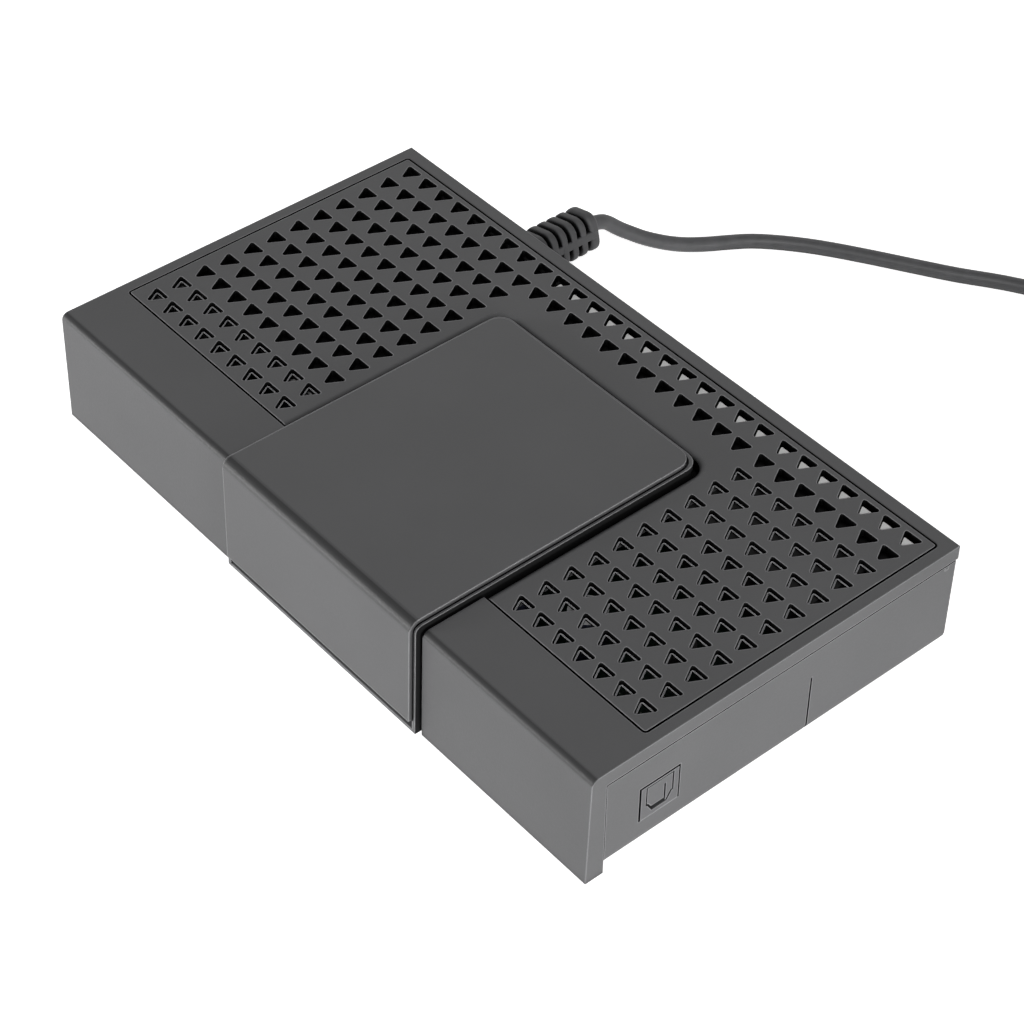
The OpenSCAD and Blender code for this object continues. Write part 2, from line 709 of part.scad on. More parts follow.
// Openings in the rear wall
module rear_cuts() {
    y0 = back_y - tray_t - over;
    y1 = back_y + over;
    rod_y(f_x, f_z, f_r + f_collar + socket_gap, y0, y1);
    rod_y(dc_x, dc_z, dc_snout + socket_gap, y0, y1);
    slab([hdmi_x - hdmi_w / 2 - socket_gap, y0, deck_z - socket_gap],
        [hdmi_x + hdmi_w / 2 + socket_gap, y1, deck_z + hdmi_h + socket_gap]);
    slab([usb_x - usb_w / 2 - socket_gap, y0, deck_z - socket_gap],
        [usb_x + usb_w / 2 + socket_gap, y1, deck_z + usb_h + socket_gap]);
}

// Two groups of long vents with round ends in the floor
module vents() for (s = [-1, 1], i = [0:vent_n - 1]) {
    x = s * body_w * vent_x_share + (i - (vent_n - 1) / 2) * vent_pitch;
    y = (front_y + back_y) / 2;
    l = body_d * vent_l_share / 2;
    for (e = [-l, l]) rod_z(x, y + e, vent_w / 2, base_z - over, floor_z + over);
    slab([x - vent_w / 2, y - l, base_z - over], [x + vent_w / 2, y + l, floor_z + over]);
}

// Sheet metal behind the sockets. Its top flange steps up in front of the ledge, so that it lies
// right under the rear row of holes.
module rear_shield() color("#b9babb") difference() {
    union() {
        slab([shield_x0, shield_y, board_z], [shield_x1, shield_y + shield_t, shield_top]);
        slab([shield_x0, flange_y1 - shield_t, shield_top - shield_t],
            [shield_x1, shield_y + shield_t, shield_top]);
        slab([shield_x0, flange_y1 - shield_t, shield_top - shield_t], [shield_x1, flange_y1, flange_z]);
        slab([shield_x0, flange_y0, flange_z - shield_t], [flange_x1, flange_y1, flange_z]);
    }
    rod_y(f_x, f_z, f_inner + fit, shield_y - over, back_y);
    for (s = [[hdmi_x, hdmi_w, hdmi_h], [usb_x, usb_w, usb_h]])
        slab([s[0] - s[1] / 2 - fit, shield_y - over, deck_z - fit],
            [s[0] + s[1] / 2 + fit, back_y, deck_z + s[2] + fit]);
}

// Black sheet under the left block of holes, with a strip along the second row
module insulator_sheet() color("#141414") {
    z = top_z - grille_t - ledge_t;
    difference() {
        union() {
            slab([-field_x, field_y0 + 2 * pitch_y, z - sheet_t], [trim_x - shelf_half - fit, field_y1, z]);
            slab([-field_x, row_y0 - pitch_y - hole_l / 2 - flange_past, z - sheet_t],
                [field_x, row_y0 - hole_l / 2, z]);
        }
        rod_z(post_side - body_w / 2, back_y - post_back, post_r + fit, z - sheet_t - over, z + over);
        slab([-body_w / 2, back_y - post_back, z - sheet_t - over], [post_side - body_w / 2, back_y, z + over]);
    }
}

module main_board() color("#10201a") difference() {
    union() {
        slab([-board_x, board_y0, board_z], [board_x, board_y1, deck_z]);
        slab([board_x - weld, tab_y0, board_z], [tab_x, tab_y1, deck_z]);
    }
    for (p = board_screw_places()) rod_z(p[0], p[1], board_screw_r + fit, board_z - over, deck_z + over);
}

module board_screws() color("#9c9ea0") for (p = board_screw_places()) {
    rod_z(p[0], p[1], board_screw_r - fit, floor_z, deck_z + weld);
    rod_z(p[0], p[1], head_r, deck_z, deck_z + head_h);
}

module case_screws() color("#3a3a3c") for (p = screw_places()) {
    rod_z(p[0], p[1], pilot_r - fit / 2, base_z + head_h / 2 - weld, floor_z + post_r * 2);
    rod_z(p[0], p[1], head_r, base_z - head_h / 2, base_z + head_h / 2);
}

module rubber_feet() color("#1c1c1e") for (p = foot_places()) translate([p[0], p[1], 0]) rotate_extrude()
    polygon([[0, 0], [foot_r - foot_sink, 0], [foot_r, foot_sink], [foot_r, base_z + foot_sink],
        [0, base_z + foot_sink]]);

// Tuner: a screened box on the board behind the aerial socket
module tuner_can() color("#c3c4c6") {
    difference() {
        slab([f_x - can_w / 2, shield_y - can_d, deck_z], [f_x + can_w / 2, shield_y, deck_z + can_h]);
        rod_y(f_x, f_z, f_inner, shield_y - over, shield_y + over);
        for (x = [-1, 1] * can_w / 4, y = [1, 3] * can_d / 4)
            rod_z(f_x + x, shield_y - y, can_vent_r, deck_z + can_h - weld, deck_z + can_h + over);
    }
}

module aerial_socket() color("#c9b06a") difference() {
    union() {
        rod_y(f_x, f_z, f_inner, shield_y - over, shield_y + shield_t);
        rod_y(f_x, f_z, f_r + f_collar, shield_y + shield_t, back_y + f_collar);
        rod_y(f_x, f_z, f_r, back_y, back_y + f_out);
    }
    rod_y(f_x, f_z, f_bore, back_y, back_y + f_out + over);
}

module aerial_insert() color("#ececea") difference() {
    rod_y(f_x, f_z, f_bore, back_y, back_y + f_out - fit);
    rod_y(f_x, f_z, jack_pin_r / 2, back_y + f_collar, back_y + f_out + over);
}

// Shell with a lower edge that tapers on both sides
function hdmi_outline(inset) = let (w = hdmi_w / 2 - inset, z0 = deck_z + inset, z1 = deck_z + hdmi_h - inset,
    s = hdmi_slope) [[-w, z1], [-w, z0 + s], [s - w, z0], [w - s, z0], [w, z0 + s], [w, z1]];

module hdmi_shell() color("#bfc1c4") translate([hdmi_x, 0, 0]) difference() {
    along_y(back_y - hdmi_l, back_y - socket_sink, hdmi_outline(0));
    along_y(back_y - hdmi_l + hdmi_wall, back_y, hdmi_outline(hdmi_wall));
}

module hdmi_core() color("#17171a") translate([hdmi_x, 0, 0]) {
    along_y(back_y - hdmi_l + hdmi_wall, back_y - hdmi_l / 2, hdmi_outline(hdmi_wall));
    slab([hdmi_slope * 1.5 - hdmi_w / 2, back_y - hdmi_l / 2 - weld, deck_z + hdmi_h / 2],
        [hdmi_w / 2 - hdmi_slope * 1.5, back_y - 2 * socket_sink, deck_z + hdmi_h / 2 + hdmi_wall * 2]);
}

module usb_shell() color("#bfc1c4") translate([usb_x, 0, 0]) difference() {
    slab([-usb_w / 2, back_y - usb_l, deck_z], [usb_w / 2, back_y - socket_sink, deck_z + usb_h]);
    slab([usb_wall - usb_w / 2, back_y - usb_l + usb_wall, deck_z + usb_wall],
        [usb_w / 2 - usb_wall, back_y, deck_z + usb_h - usb_wall]);
}

module usb_core() color("#17171a") translate([usb_x, 0, 0]) {
    slab([usb_wall - usb_w / 2, back_y - usb_l + usb_wall, deck_z + usb_wall],
        [usb_w / 2 - usb_wall, back_y - usb_l * 0.75, deck_z + usb_h - usb_wall]);
    slab([usb_wall * 2 - usb_w / 2, back_y - usb_l * 0.75 - weld, deck_z + usb_h / 2 + fit],
        [usb_w / 2 - usb_wall * 2, back_y - 2 * socket_sink, deck_z + usb_h - usb_wall * 2]);
}

module dc_jack() color("#17171a") {
    y1 = back_y - tray_t - fit;
    difference() {
        union() {
            slab([dc_x - dc_w / 2, y1 - dc_l, deck_z], [dc_x + dc_w / 2, y1, deck_z + dc_h]);
            rod_y(dc_x, dc_z, dc_snout, y1 - weld, back_y + dc_out);
        }
        rod_y(dc_x, dc_z, dc_bore, back_y - dc_depth, back_y + dc_out + over);
    }
}

module jack_pin() color("#c9b06a") rod_y(dc_x, dc_z, jack_pin_r, back_y - dc_depth, back_y - tray_t);

// Outline of the optical opening: flat top, straight sides, a small step and a tapered foot
function optical_outline(gap) = let (w = optical_open_w / 2 - gap, f = optical_foot_w / 2 - gap,
    z = optical_knee + gap)
    [for (p = [[-w, optical_top - gap], [-w, z], [optical_step - w, z], [-f, optical_low + gap],
    [f, optical_low + gap], [w - optical_step, z], [w, z], [w, optical_top - gap]]) p + [optical_mid, 0]];

module optical_socket() color("#3a3a3e") difference() {
    slab([optical_x - optical_l, optical_mid - optical_w / 2, deck_z],
        [optical_x, optical_mid + optical_w / 2, optical_z1]);
    along_x(optical_x - optical_depth, optical_x + over, optical_outline(0));
    rod_y(hinge_x, hinge_z, hinge_r + hinge_gap, optical_mid - optical_open_w / 2 - hinge_stub - fit,
        optical_mid + optical_open_w / 2 + hinge_stub + fit);
    rod_x(optical_mid, optical_mid_z, emitter_r, optical_x - optical_depth - emitter_l,
        optical_x - optical_depth + over);
}

module optical_emitter() color("#b02020") rod_x(optical_mid, optical_mid_z,
    emitter_r - hinge_gap, optical_x - optical_depth - emitter_l, optical_x - optical_depth);

// Flap that hangs from two stubs and swings inwards when a plug pushes it. A slot parts its lower
// end, and the front part ends higher than the rear one.
module optical_shutter() color("#4b4b4f") {
    slot_y = optical_mid + optical_open_w * (flap_slot_share - 0.5);
    slot_z = optical_low + (optical_top - optical_low) * flap_slot_top_share;
    difference() {
        intersection() {
            along_x(flap_x - flap_t, flap_x, optical_outline(flap_gap));
            slab([0, front_y, optical_low], [body_w, back_y, hinge_z + hinge_r]);
        }
        slab([0, slot_y, optical_low], [body_w, slot_y + flap_slot, slot_z]);
        slab([0, front_y, 0], [body_w, slot_y + flap_slot / 2, optical_low + flap_rise]);
    }
    rod_y(hinge_x, hinge_z, hinge_r, optical_mid - optical_open_w / 2 - hinge_stub,
        optical_mid + optical_open_w / 2 + hinge_stub);
}

function on_board(share) = [board_x * share[0], board_y0 + (board_y1 - board_y0) * share[1]];

module main_chip() color("#1b1b1d") {
    c = on_board(chip_share);
    slab([c[0] - chip_w / 2, c[1] - chip_w / 2, deck_z],
        [c[0] + chip_w / 2, c[1] + chip_w / 2, deck_z + chip_h]);
}

module heat_sink() color("#2a2a2c") {
    c = on_board(chip_share);
    z = deck_z + chip_h;
    slab([c[0] - sink_w / 2, c[1] - sink_w / 2, z], [c[0] + sink_w / 2, c[1] + sink_w / 2, z + sink_base]);
    for (i = [0:fin_n - 1]) {
        x = c[0] - sink_w / 2 + i * (sink_w - fin_t) / (fin_n - 1);
        slab([x, c[1] - sink_w / 2, z + sink_base - weld], [x + fin_t, c[1] + sink_w / 2, z + sink_h]);
    }
}

module memory_chips() color("#1b1b1d") for (s = memory_shares) {
    c = on_board(s);
    slab([c[0] - memory_w / 2, c[1] - memory_l / 2, deck_z],
        [c[0] + memory_w / 2, c[1] + memory_l / 2, deck_z + memory_h]);
}

module capacitors() color("#22262e") for (s = capacitor_shares) {
    c = on_board(s);
    difference() {
        rod_z(c[0], c[1], capacitor_r, deck_z, deck_z + capacitor_h);
        for (a = [0, 90]) translate([c[0], c[1], deck_z + capacitor_h]) rotate([0, 0, a])
            cube([capacitor_r * 1.4, capacitor_groove, capacitor_groove * 2], center = true);
    }
}

module chokes() color("#3b3b3d") for (s = choke_shares) {
    c = on_board(s);
    slab([c[0] - choke_w / 2, c[1] - choke_w / 2, deck_z],
        [c[0] + choke_w / 2, c[1] + choke_w / 2, deck_z + choke_base]);
    rod_z(c[0], c[1], choke_w / 2 - choke_base / 2, deck_z, deck_z + choke_h);
}

// Front board standing on the main board, with the display, the remote receiver and the status lamp
module front_board() color("#10201a")
    slab([trim_x - front_board_w / 2, front_board_y, deck_z],
        [trim_x + front_board_w / 2, front_board_y + front_board_t, deck_z + front_board_h]);

module display_module() color("#101012")
    slab([display_x - display_w / 2, front_board_y - display_d, window_mid - display_h / 2],
        [display_x + display_w / 2, front_board_y, window_mid + display_h / 2]);

module ir_receiver() color("#1a1113") {
    y = front_board_y - eye_d;
    slab([eye_x - eye_w / 2, y, window_mid - eye_h / 2],
        [eye_x + eye_w / 2, front_board_y, window_mid + eye_h / 2]);
    intersection() {
        translate([eye_x, y, window_mid]) sphere(r = eye_r);
        slab([eye_x - eye_w / 2, y - eye_w, window_mid - eye_h / 2],
            [eye_x + eye_w / 2, y + weld, window_mid + eye_h / 2]);
    }
}

module status_led() color("#d8e6d8") rod_y(led_x, window_mid, led_r, front_board_y - eye_d, front_board_y);

module board_header() color("#17171a")
    slab([trim_x - display_w / 2, front_board_y + front_board_t, deck_z],
        [trim_x + display_w / 2, front_board_y + front_board_t + header_t, deck_z + header_t]);

// Ribbed grip of the power plug: a tapered square with round corners, cut by slots that leave a spine
module dc_plug() color("#3c3c3f") translate([dc_x, 0, dc_z]) rotate([0, -grip_roll, 0]) {
    core = grip_w * (1 - slot_depth_share) / 2;
    spine = grip_w * spine_share / 2;
    difference() {
        translate([0, grip_y0, 0]) rotate([-90, 0, 0]) linear_extrude(grip_l, scale = grip_tip_share)
            polygon(rounded_rect(grip_w, grip_w, grip_w * grip_corner_share));
        for (i = [0:rib_n - 1], s = [0, 180]) rotate([0, s, 0])
            translate([0, plug_tip[1] - tip_land - i * rib_pitch, 0]) difference() {
                slab([-grip_w, -slot_w, spine], [grip_w, 0, grip_w]);
                slab([-core, -slot_w - over, 0], [core, over, core]);
            }
    }
}

module plug_barrel() color("#c8c9cb") difference() {
    rod_y(dc_x, dc_z, barrel_r, grip_y0 - barrel_l, grip_y0);
    rod_y(dc_x, dc_z, barrel_bore, grip_y0 - barrel_l - over, grip_y0 - over);
}

// A tube swept along a line of points, with flat ends square to the line
function heading(p, i) = unit(p[min(i + 1, len(p) - 1)] - p[max(i - 1, 0)]);
function ring(p, i, r, n) = let (t = heading(p, i), s = unit(cross(t, [0, 0, 1])), u = cross(s, t))
    [for (k = [0:n - 1]) p[i] + r * (cos(360 * k / n) * s + sin(360 * k / n) * u)];
module tube(p, r, n) {
    m = len(p);
    polyhedron([for (i = [0:m - 1]) each ring(p, i, r, n)], concat(
        [[for (k = [n - 1:-1:0]) k]], [[for (k = [0:n - 1]) (m - 1) * n + k]],
        [for (i = [0:m - 2], k = [0:n - 1]) [i * n + k, i * n + (k + 1) % n, (i + 1) * n + (k + 1) % n]],
        [for (i = [0:m - 2], k = [0:n - 1]) [i * n + k, (i + 1) * n + (k + 1) % n, (i + 1) * n + k]]));
}

function line_length(p, i = 1) = i >= len(p) ? 0 : norm(p[i] - p[i - 1]) + line_length(p, i + 1);
coil_least = min([for (i = [0:len(coil_line) - 1], j = [i + ring_n / 2:1:len(coil_line) - 1])
    norm(coil_line[i] - coil_line[j])]) - lead_d;
echo(coil_gap_to_itself = coil_least,  // lead_coil
    lead = line_length(lead_route), coil = line_length(coil_line), tail = line_length(tail_route));

module power_lead() color("#3c3c3f") {
    tube(lead_route, lead_r, lead_sides);
    tube(tail_route, lead_r, lead_sides);
}

module lead_coil() color("#3c3c3f") tube(coil_line, lead_r, coil_sides);

// Tie round the bundle of turns
module coil_tie() color("#242426") {
    half = coil_pitch * layer_turns / 2 + lead_r + tie_gap;
    high = coil_z + coil_pitch * (layer_n - 1) + lead_r + tie_slack;
    translate([coil_at[0], coil_at[1] - coil_r, 0]) rotate([0, 0, 90]) difference() {
        slab([-half - tie_t, -tie_w / 2, 0], [half + tie_t, tie_w / 2, high + tie_t]);
        slab([-half, -tie_w, tie_t], [half, tie_w, high]);
    }
}

// Bend relief of the supply, ringed by ribs
function relief_rib(i) = let (
    step = relief_l / relief_ribs, y = i * step, r = relief_r0 + (relief_r1 - relief_r0) * i / relief_ribs)
    [[r, y], [r, y + step * 0.6], [r - weld * 2, y + step * 0.6], [r - weld * 2, y + step]];
module supply_relief() color("#2c2c2e") translate([supply_x, supply_y1, relief_z]) rotate([-90, 0, 0])
    rotate_extrude() polygon(concat([[0, 0]], [for (i = [0:relief_ribs - 1]) each relief_rib(i)],
        [[0, relief_l]]));

module supply_outline(inset) translate([supply_x, supply_mid])
    polygon(rounded_rect(supply_w - 2 * inset, supply_l - 2 * inset, supply_corner - inset));

// Half width and height of a section whose lower corners are round
function round_section(half, h) = concat([[half, h]],
    arc([half - supply_r, supply_r], supply_r, 0, -90, corner_steps),
    arc([supply_r - half, supply_r], supply_r, -90, -180, corner_steps), [[-half, h]]);

module supply_case() color("#232325") difference() {
    intersection() {
        up(0, supply_h - supply_split) supply_outline(0);
        along_y(supply_mid - supply_l, supply_mid + supply_l,
            [for (p = round_section(supply_w / 2, supply_h)) p + [supply_x, 0]]);
        along_x(supply_x - supply_w, supply_x + supply_w,
            [for (p = round_section(supply_l / 2, supply_h)) p + [supply_mid, 0]]);
    }
    up(supply_h - supply_split - seam, supply_h) difference() {
        supply_outline(-over);
        supply_outline(seam);
    }
}

module supply_cover() color("#232325") {
    up(supply_h - supply_split, supply_h) supply_outline(0);
    translate([supply_x, supply_mid, supply_h - weld]) linear_extrude(plateau_h + weld)
        polygon(rounded_rect(plateau_w, plateau_l, plateau_l / 2 - fit));
}

module mains_pins() color("#c8c9cb") for (s = [-1, 1])
    translate([supply_x + s * pin_gap / 2, supply_mid, supply_h + plateau_h]) rotate_extrude()
        polygon(concat([[0, 0], [sleeve_core, 0], [sleeve_core, sleeve_l], [pin_r, sleeve_l]],
            arc([0, pin_l - pin_r], pin_r, 0, 90, corner_steps)));

module pin_sleeves() color("#2e2e30") for (s = [-1, 1])
    translate([supply_x + s * pin_gap / 2, supply_mid, supply_h + plateau_h]) difference() {
        cylinder(r = sleeve_r, h = sleeve_l);
        translate([0, 0, -over]) cylinder(r = sleeve_core, h = sleeve_l + 2 * over);
    }

top_cover();
vent_grille();
trim_carrier();
trim_plate();
base_tray();
rear_shield();
insulator_sheet();
main_board();
board_screws();
case_screws();
rubber_feet();
tuner_can();
aerial_socket();
aerial_insert();
hdmi_shell();
hdmi_core();
usb_shell();
usb_core();
dc_jack();
jack_pin();
optical_socket();
optical_emitter();
optical_shutter();
main_chip();
heat_sink();
memory_chips();
capacitors();
chokes();
front_board();
display_module();
ir_receiver();
status_led();
board_header();
dc_plug();
plug_barrel();
power_lead();
lead_coil();
coil_tie();
supply_relief();
supply_case();
supply_cover();
pin_sleeves();
mains_pins();
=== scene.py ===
import math

import bmesh
import bpy
from mathutils import Matrix, Vector


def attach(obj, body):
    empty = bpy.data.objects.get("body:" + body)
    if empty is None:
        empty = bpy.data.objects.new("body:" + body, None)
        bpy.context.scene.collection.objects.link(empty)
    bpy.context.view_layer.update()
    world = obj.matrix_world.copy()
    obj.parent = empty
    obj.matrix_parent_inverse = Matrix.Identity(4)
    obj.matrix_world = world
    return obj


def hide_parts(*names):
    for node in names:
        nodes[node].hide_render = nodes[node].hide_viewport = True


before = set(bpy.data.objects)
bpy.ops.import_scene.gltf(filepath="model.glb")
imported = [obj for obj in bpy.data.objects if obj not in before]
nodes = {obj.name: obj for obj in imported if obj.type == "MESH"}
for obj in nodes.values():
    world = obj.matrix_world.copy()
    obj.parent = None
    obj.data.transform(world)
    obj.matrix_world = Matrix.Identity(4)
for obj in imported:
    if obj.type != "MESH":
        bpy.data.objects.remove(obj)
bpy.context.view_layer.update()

# Camera at the photograph's height and angle: about 50 degrees round to the right of the front,
# 43 degrees above the table, with a long lens and the principal point in the middle of the frame.
camera_turn, camera_rise, camera_roll = 0.86485, 0.75421, 0.00968
camera_distance = 0.5625
camera_target = Vector((-0.00025, 0.0036, 0.0006))
outward = Vector((math.sin(camera_turn) * math.cos(camera_rise),
                  -math.cos(camera_turn) * math.cos(camera_rise), math.sin(camera_rise)))
level_right = (-outward).cross(Vector((0, 0, 1))).normalized()
level_up = level_right.cross(-outward)
camera_right = math.cos(camera_roll) * level_right + math.sin(camera_roll) * level_up
camera_up = -math.sin(camera_roll) * level_right + math.cos(camera_roll) * level_up
bpy.ops.object.camera_add(location=(0, 0, 0))
camera = bpy.context.object
camera.name = "studio_camera"
camera.data.sensor_width = 36
camera.data.lens = 36 * 2705.356 / 1024
camera.data.clip_start = 0.01
placing = Matrix((camera_right, camera_up, outward)).transposed().to_4x4()
placing.translation = camera_target + outward * camera_distance
camera.matrix_world = placing
bpy.context.scene.camera = camera

# Lead from the plug at the back: a round soft cable that drops to the table, runs to a storage
# coil of four layers and ends in the relief of the plug-in supply. One smooth spline of 1.5 m.
lead_width = 0.0035
plug_tip = Vector((-0.0501, 0.067425, 0.0147))
lead_drop_mm = [(0, 0, 0), (0, 2, -0.1), (0.1, 3.9, -0.5), (0.2, 5.4, -1.2), (0.5, 6.7, -2.2),
                (1, 7.9, -3.3), (1.7, 9.4, -4.5), (2.5, 11, -5.6), (3.7, 13.5, -7.3), (5.2, 16.9, -9.2),
                (6.7, 20.4, -10.8), (8.3, 23.9, -11.9), (10.4, 28.4, -12.7)]
table_run_mm = [(-37.2, 100.3, 1.8), (-34, 104.9, 1.8), (-29, 109.9, 1.8), (-22.5, 115.1, 1.8),
                (-14, 120.7, 1.8), (-4.6, 126.4, 1.8), (5, 132.3, 1.8), (14.2, 138.7, 1.8), (24, 144.1, 1.8),
                (35, 147.7, 1.8), (47, 149.2, 1.85), (59, 149.1, 1.9), (68, 148.8, 2.1), (74, 148.9, 2.4)]
supply_run_mm = [(120, 142.7, 14.4), (129.5, 138.3, 13.9), (138.6, 133.7, 13.1), (142.9, 130.8, 12.7),
                 (145.6, 126.8, 12.3), (147, 121, 12), (147, 117.5, 12)]
coil_middle, coil_mean, coil_pitch = Vector((0.094, 0.1275)), 0.0199, 0.004
coil_layers, layer_turns, coil_start_angle, coil_rings, steps_per_gap = 4, 2.53125, 110, 243, 3
jacket_gap, tie_under = 0.00015, 0.0007
coil_floor = lead_width / 2 + jacket_gap + tie_under


def coil_place(turns):
    share = turns / layer_turns
    layer = math.floor(share)
    inner = coil_mean - coil_pitch * layer_turns / 2
    reach = share - layer
    radius = inner + coil_pitch * layer_turns * (1 - reach if layer % 2 == 0 else reach)
    height = coil_floor
    for turning in range(1, coil_layers):
        climb = min(1, max(0, (turns - turning * layer_turns) * 2 + 0.5))
        height += coil_pitch * climb * climb * (3 - 2 * climb)
    angle = math.radians(coil_start_angle - 360 * turns)
    return Vector((coil_middle.x + radius * math.cos(angle),
                   coil_middle.y + radius * math.sin(angle), height))


all_turns = coil_layers * layer_turns
tiny = 1 / 192
coil_in = (coil_place(tiny) - coil_place(0)).normalized()
coil_out = (coil_place(all_turns) - coil_place(all_turns - tiny)).normalized()
coil_first = coil_place(0) - coil_in * lead_width
coil_last = coil_place(all_turns) + coil_out * lead_width
route = [plug_tip + Vector(step) / 1000 for step in lead_drop_mm]
route += [Vector(place) / 1000 for place in table_run_mm]
route += [coil_first - coil_in * lead_width, coil_first]
route += [coil_place(all_turns * ring / coil_rings) for ring in range(coil_rings + 1)]
route += [coil_last, coil_last + coil_out * lead_width]
route += [Vector(place) / 1000 for place in supply_run_mm]
smooth_route = []
for first in range(len(route) - 1):
    before, start, end, after = (route[max(0, first - 1)], route[first], route[first + 1],
                                 route[min(len(route) - 1, first + 2)])
    gaps = [max((b - a).length, 1e-6) ** 0.5 for a, b in ((before, start), (start, end), (end, after))]
    pull_out = ((start - before) / gaps[0] - (end - before) / (gaps[0] + gaps[1])
                + (end - start) / gaps[1]) * gaps[1]
    pull_in = ((end - start) / gaps[1] - (after - start) / (gaps[1] + gaps[2])
               + (after - end) / gaps[2]) * gaps[1]
    if first == 0:
        pull_out = end - start
    if first == len(route) - 2:
        pull_in = end - start
    for part in range(steps_per_gap):
        t = part / steps_per_gap
        smooth_route.append(start * (2 * t ** 3 - 3 * t * t + 1) + pull_out * (t ** 3 - 2 * t * t + t)
                            + end * (3 * t * t - 2 * t ** 3) + pull_in * (t ** 3 - t * t))
smooth_route.append(route[-1])
lead_curve = bpy.data.curves.new("power_lead_run", "CURVE")
lead_curve.dimensions = "3D"
lead_curve.bevel_depth = lead_width / 2
lead_curve.bevel_resolution = 4
lead_curve.use_fill_caps = True
lead_spline = lead_curve.splines.new("POLY")
lead_spline.points.add(len(smooth_route) - 1)
for point, place in zip(lead_spline.points, smooth_route):
    point.co = (*place, 1)
lead_run = bpy.data.objects.new("power_lead_run", lead_curve)
bpy.context.collection.objects.link(lead_run)


def fresh_material(name):
    material = bpy.data.materials.new(name)
    material.use_nodes = True
    return material, material.node_tree, material.node_tree.nodes["Principled BSDF"]


def add_node(tree, kind, values=None):
    made = tree.nodes.new("ShaderNode" + kind)
    for socket, value in (values or {}).items():
        made.inputs[socket].default_value = value
    return made


def colour_ramp(tree, first_place, first_colour, second_place, second_colour):
    ramp = add_node(tree, "ValToRGB")
    for element, place, colour in zip(ramp.color_ramp.elements, (first_place, second_place),
                                      (first_colour, second_colour)):
        element.position = place
        element.color = (*colour, 1)
    return ramp


def node_of(material, kind):
    return next(node for node in material.node_tree.nodes if node.bl_idname == "ShaderNode" + kind)


# Soft vinyl with random scuffs and grain. Painted shade: ambient occlusion darkens its base colour and its
# specular level in creases and hollows.
def soft_vinyl(name, colour, roughness, grain_size):
    material, tree, shader = fresh_material(name)
    link = tree.links.new
    place = add_node(tree, "TexCoord")
    scuffs = add_node(tree, "TexNoise", {"Scale": 0.14 / grain_size, "Detail": 5})
    tone = colour_ramp(tree, 0.32, [c * 0.86 for c in colour], 0.7, [c * 1.16 for c in colour])
    skin = add_node(tree, "TexNoise", {"Scale": 1 / grain_size, "Detail": 3})
    gloss = add_node(tree, "MapRange", {"To Min": roughness - 0.07, "To Max": roughness + 0.08})
    bump = add_node(tree, "Bump", {"Strength": 0.4, "Distance": 0.00006})
    hollow = add_node(tree, "AmbientOcclusion", {"Distance": 0.0018})
    hollow.samples = 8
    crevice_shade = add_node(tree, "MapRange", {"From Min": 0.38, "From Max": 0.8, "To Min": 0.02})
    shaded_specular = add_node(tree, "Math")
    shaded_specular.operation = "MULTIPLY"
    shaded_specular.inputs[1].default_value = 0.38
    dim = add_node(tree, "VectorMath")
    dim.operation = "SCALE"
    link(place.outputs["Object"], scuffs.inputs["Vector"])
    link(place.outputs["Object"], skin.inputs["Vector"])
    link(scuffs.outputs["Fac"], tone.inputs["Fac"])
    link(hollow.outputs["AO"], crevice_shade.inputs["Value"])
    link(crevice_shade.outputs["Result"], shaded_specular.inputs[0])
    link(shaded_specular.outputs["Value"], shader.inputs["Specular IOR Level"])
    link(tone.outputs["Color"], dim.inputs[0])
    link(crevice_shade.outputs["Result"], dim.inputs["Scale"])
    link(dim.outputs["Vector"], shader.inputs["Base Color"])
    link(scuffs.outputs["Fac"], gloss.inputs["Value"])
    link(gloss.outputs["Result"], shader.inputs["Roughness"])
    link(skin.outputs["Fac"], bump.inputs["Height"])
    link(bump.outputs["Normal"], shader.inputs["Normal"])
    return material


jacket_vinyl = soft_vinyl("jacket_vinyl", (0.066, 0.066, 0.069), 0.5, 0.0004)
lead_curve.materials.append(jacket_vinyl)
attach(lead_run, "receiver")
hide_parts("power_lead", "lead_coil")

# Plug grip: soft moulded vinyl round the barrel plug, a square bar with rounded corners. Six slots
# over and under a spine on each side let it bend; it is turned a little in its socket.
grip_width, grip_length, tip_share = 0.0099, 0.0228, 0.94
rib_step, slot_width, tip_length, base_length = 0.00275, 0.00108, 0.0025, 0.0053
core_share, spine_height, corner_share = 0.68, 0.002, 0.3
base_rim, rib_rim, tip_rim, grip_tilt = 0.00035, 0.00032, 0.0008, -14
same_place = 1e-7


def edge_picker(piece, wanted):
    bpy.ops.mesh.select_mode(type="EDGE")
    bpy.ops.mesh.select_all(action="DESELECT")
    shape = bmesh.from_edit_mesh(piece.data)
    for edge in shape.edges:
        edge.select_set(wanted(edge))
    bmesh.update_edit_mesh(piece.data)


def rounded_bar(name, width, height, length, middle, corner, rim):
    bpy.ops.object.select_all(action="DESELECT")
    bpy.ops.mesh.primitive_cube_add(size=1, location=(0, 0, 0))
    bar = bpy.context.object
    bar.name = name
    bpy.ops.object.mode_set(mode="EDIT")
    bpy.ops.transform.resize(value=(width, length, height))
    bpy.ops.transform.translate(value=middle)
    edge_picker(bar, lambda edge: abs((edge.verts[0].co - edge.verts[1].co).y) > length / 2)
    bpy.ops.mesh.bevel(offset=corner, segments=6, affect="EDGES")
    if rim:
        edge_picker(bar, lambda edge: len({round(face.normal.y) for face in edge.link_faces}) == 2)
        bpy.ops.mesh.bevel(offset=rim, segments=3, affect="EDGES")
    bpy.ops.object.mode_set(mode="OBJECT")
    return bar


def taper(place):
    return 1 - (1 - tip_share) * place / grip_length


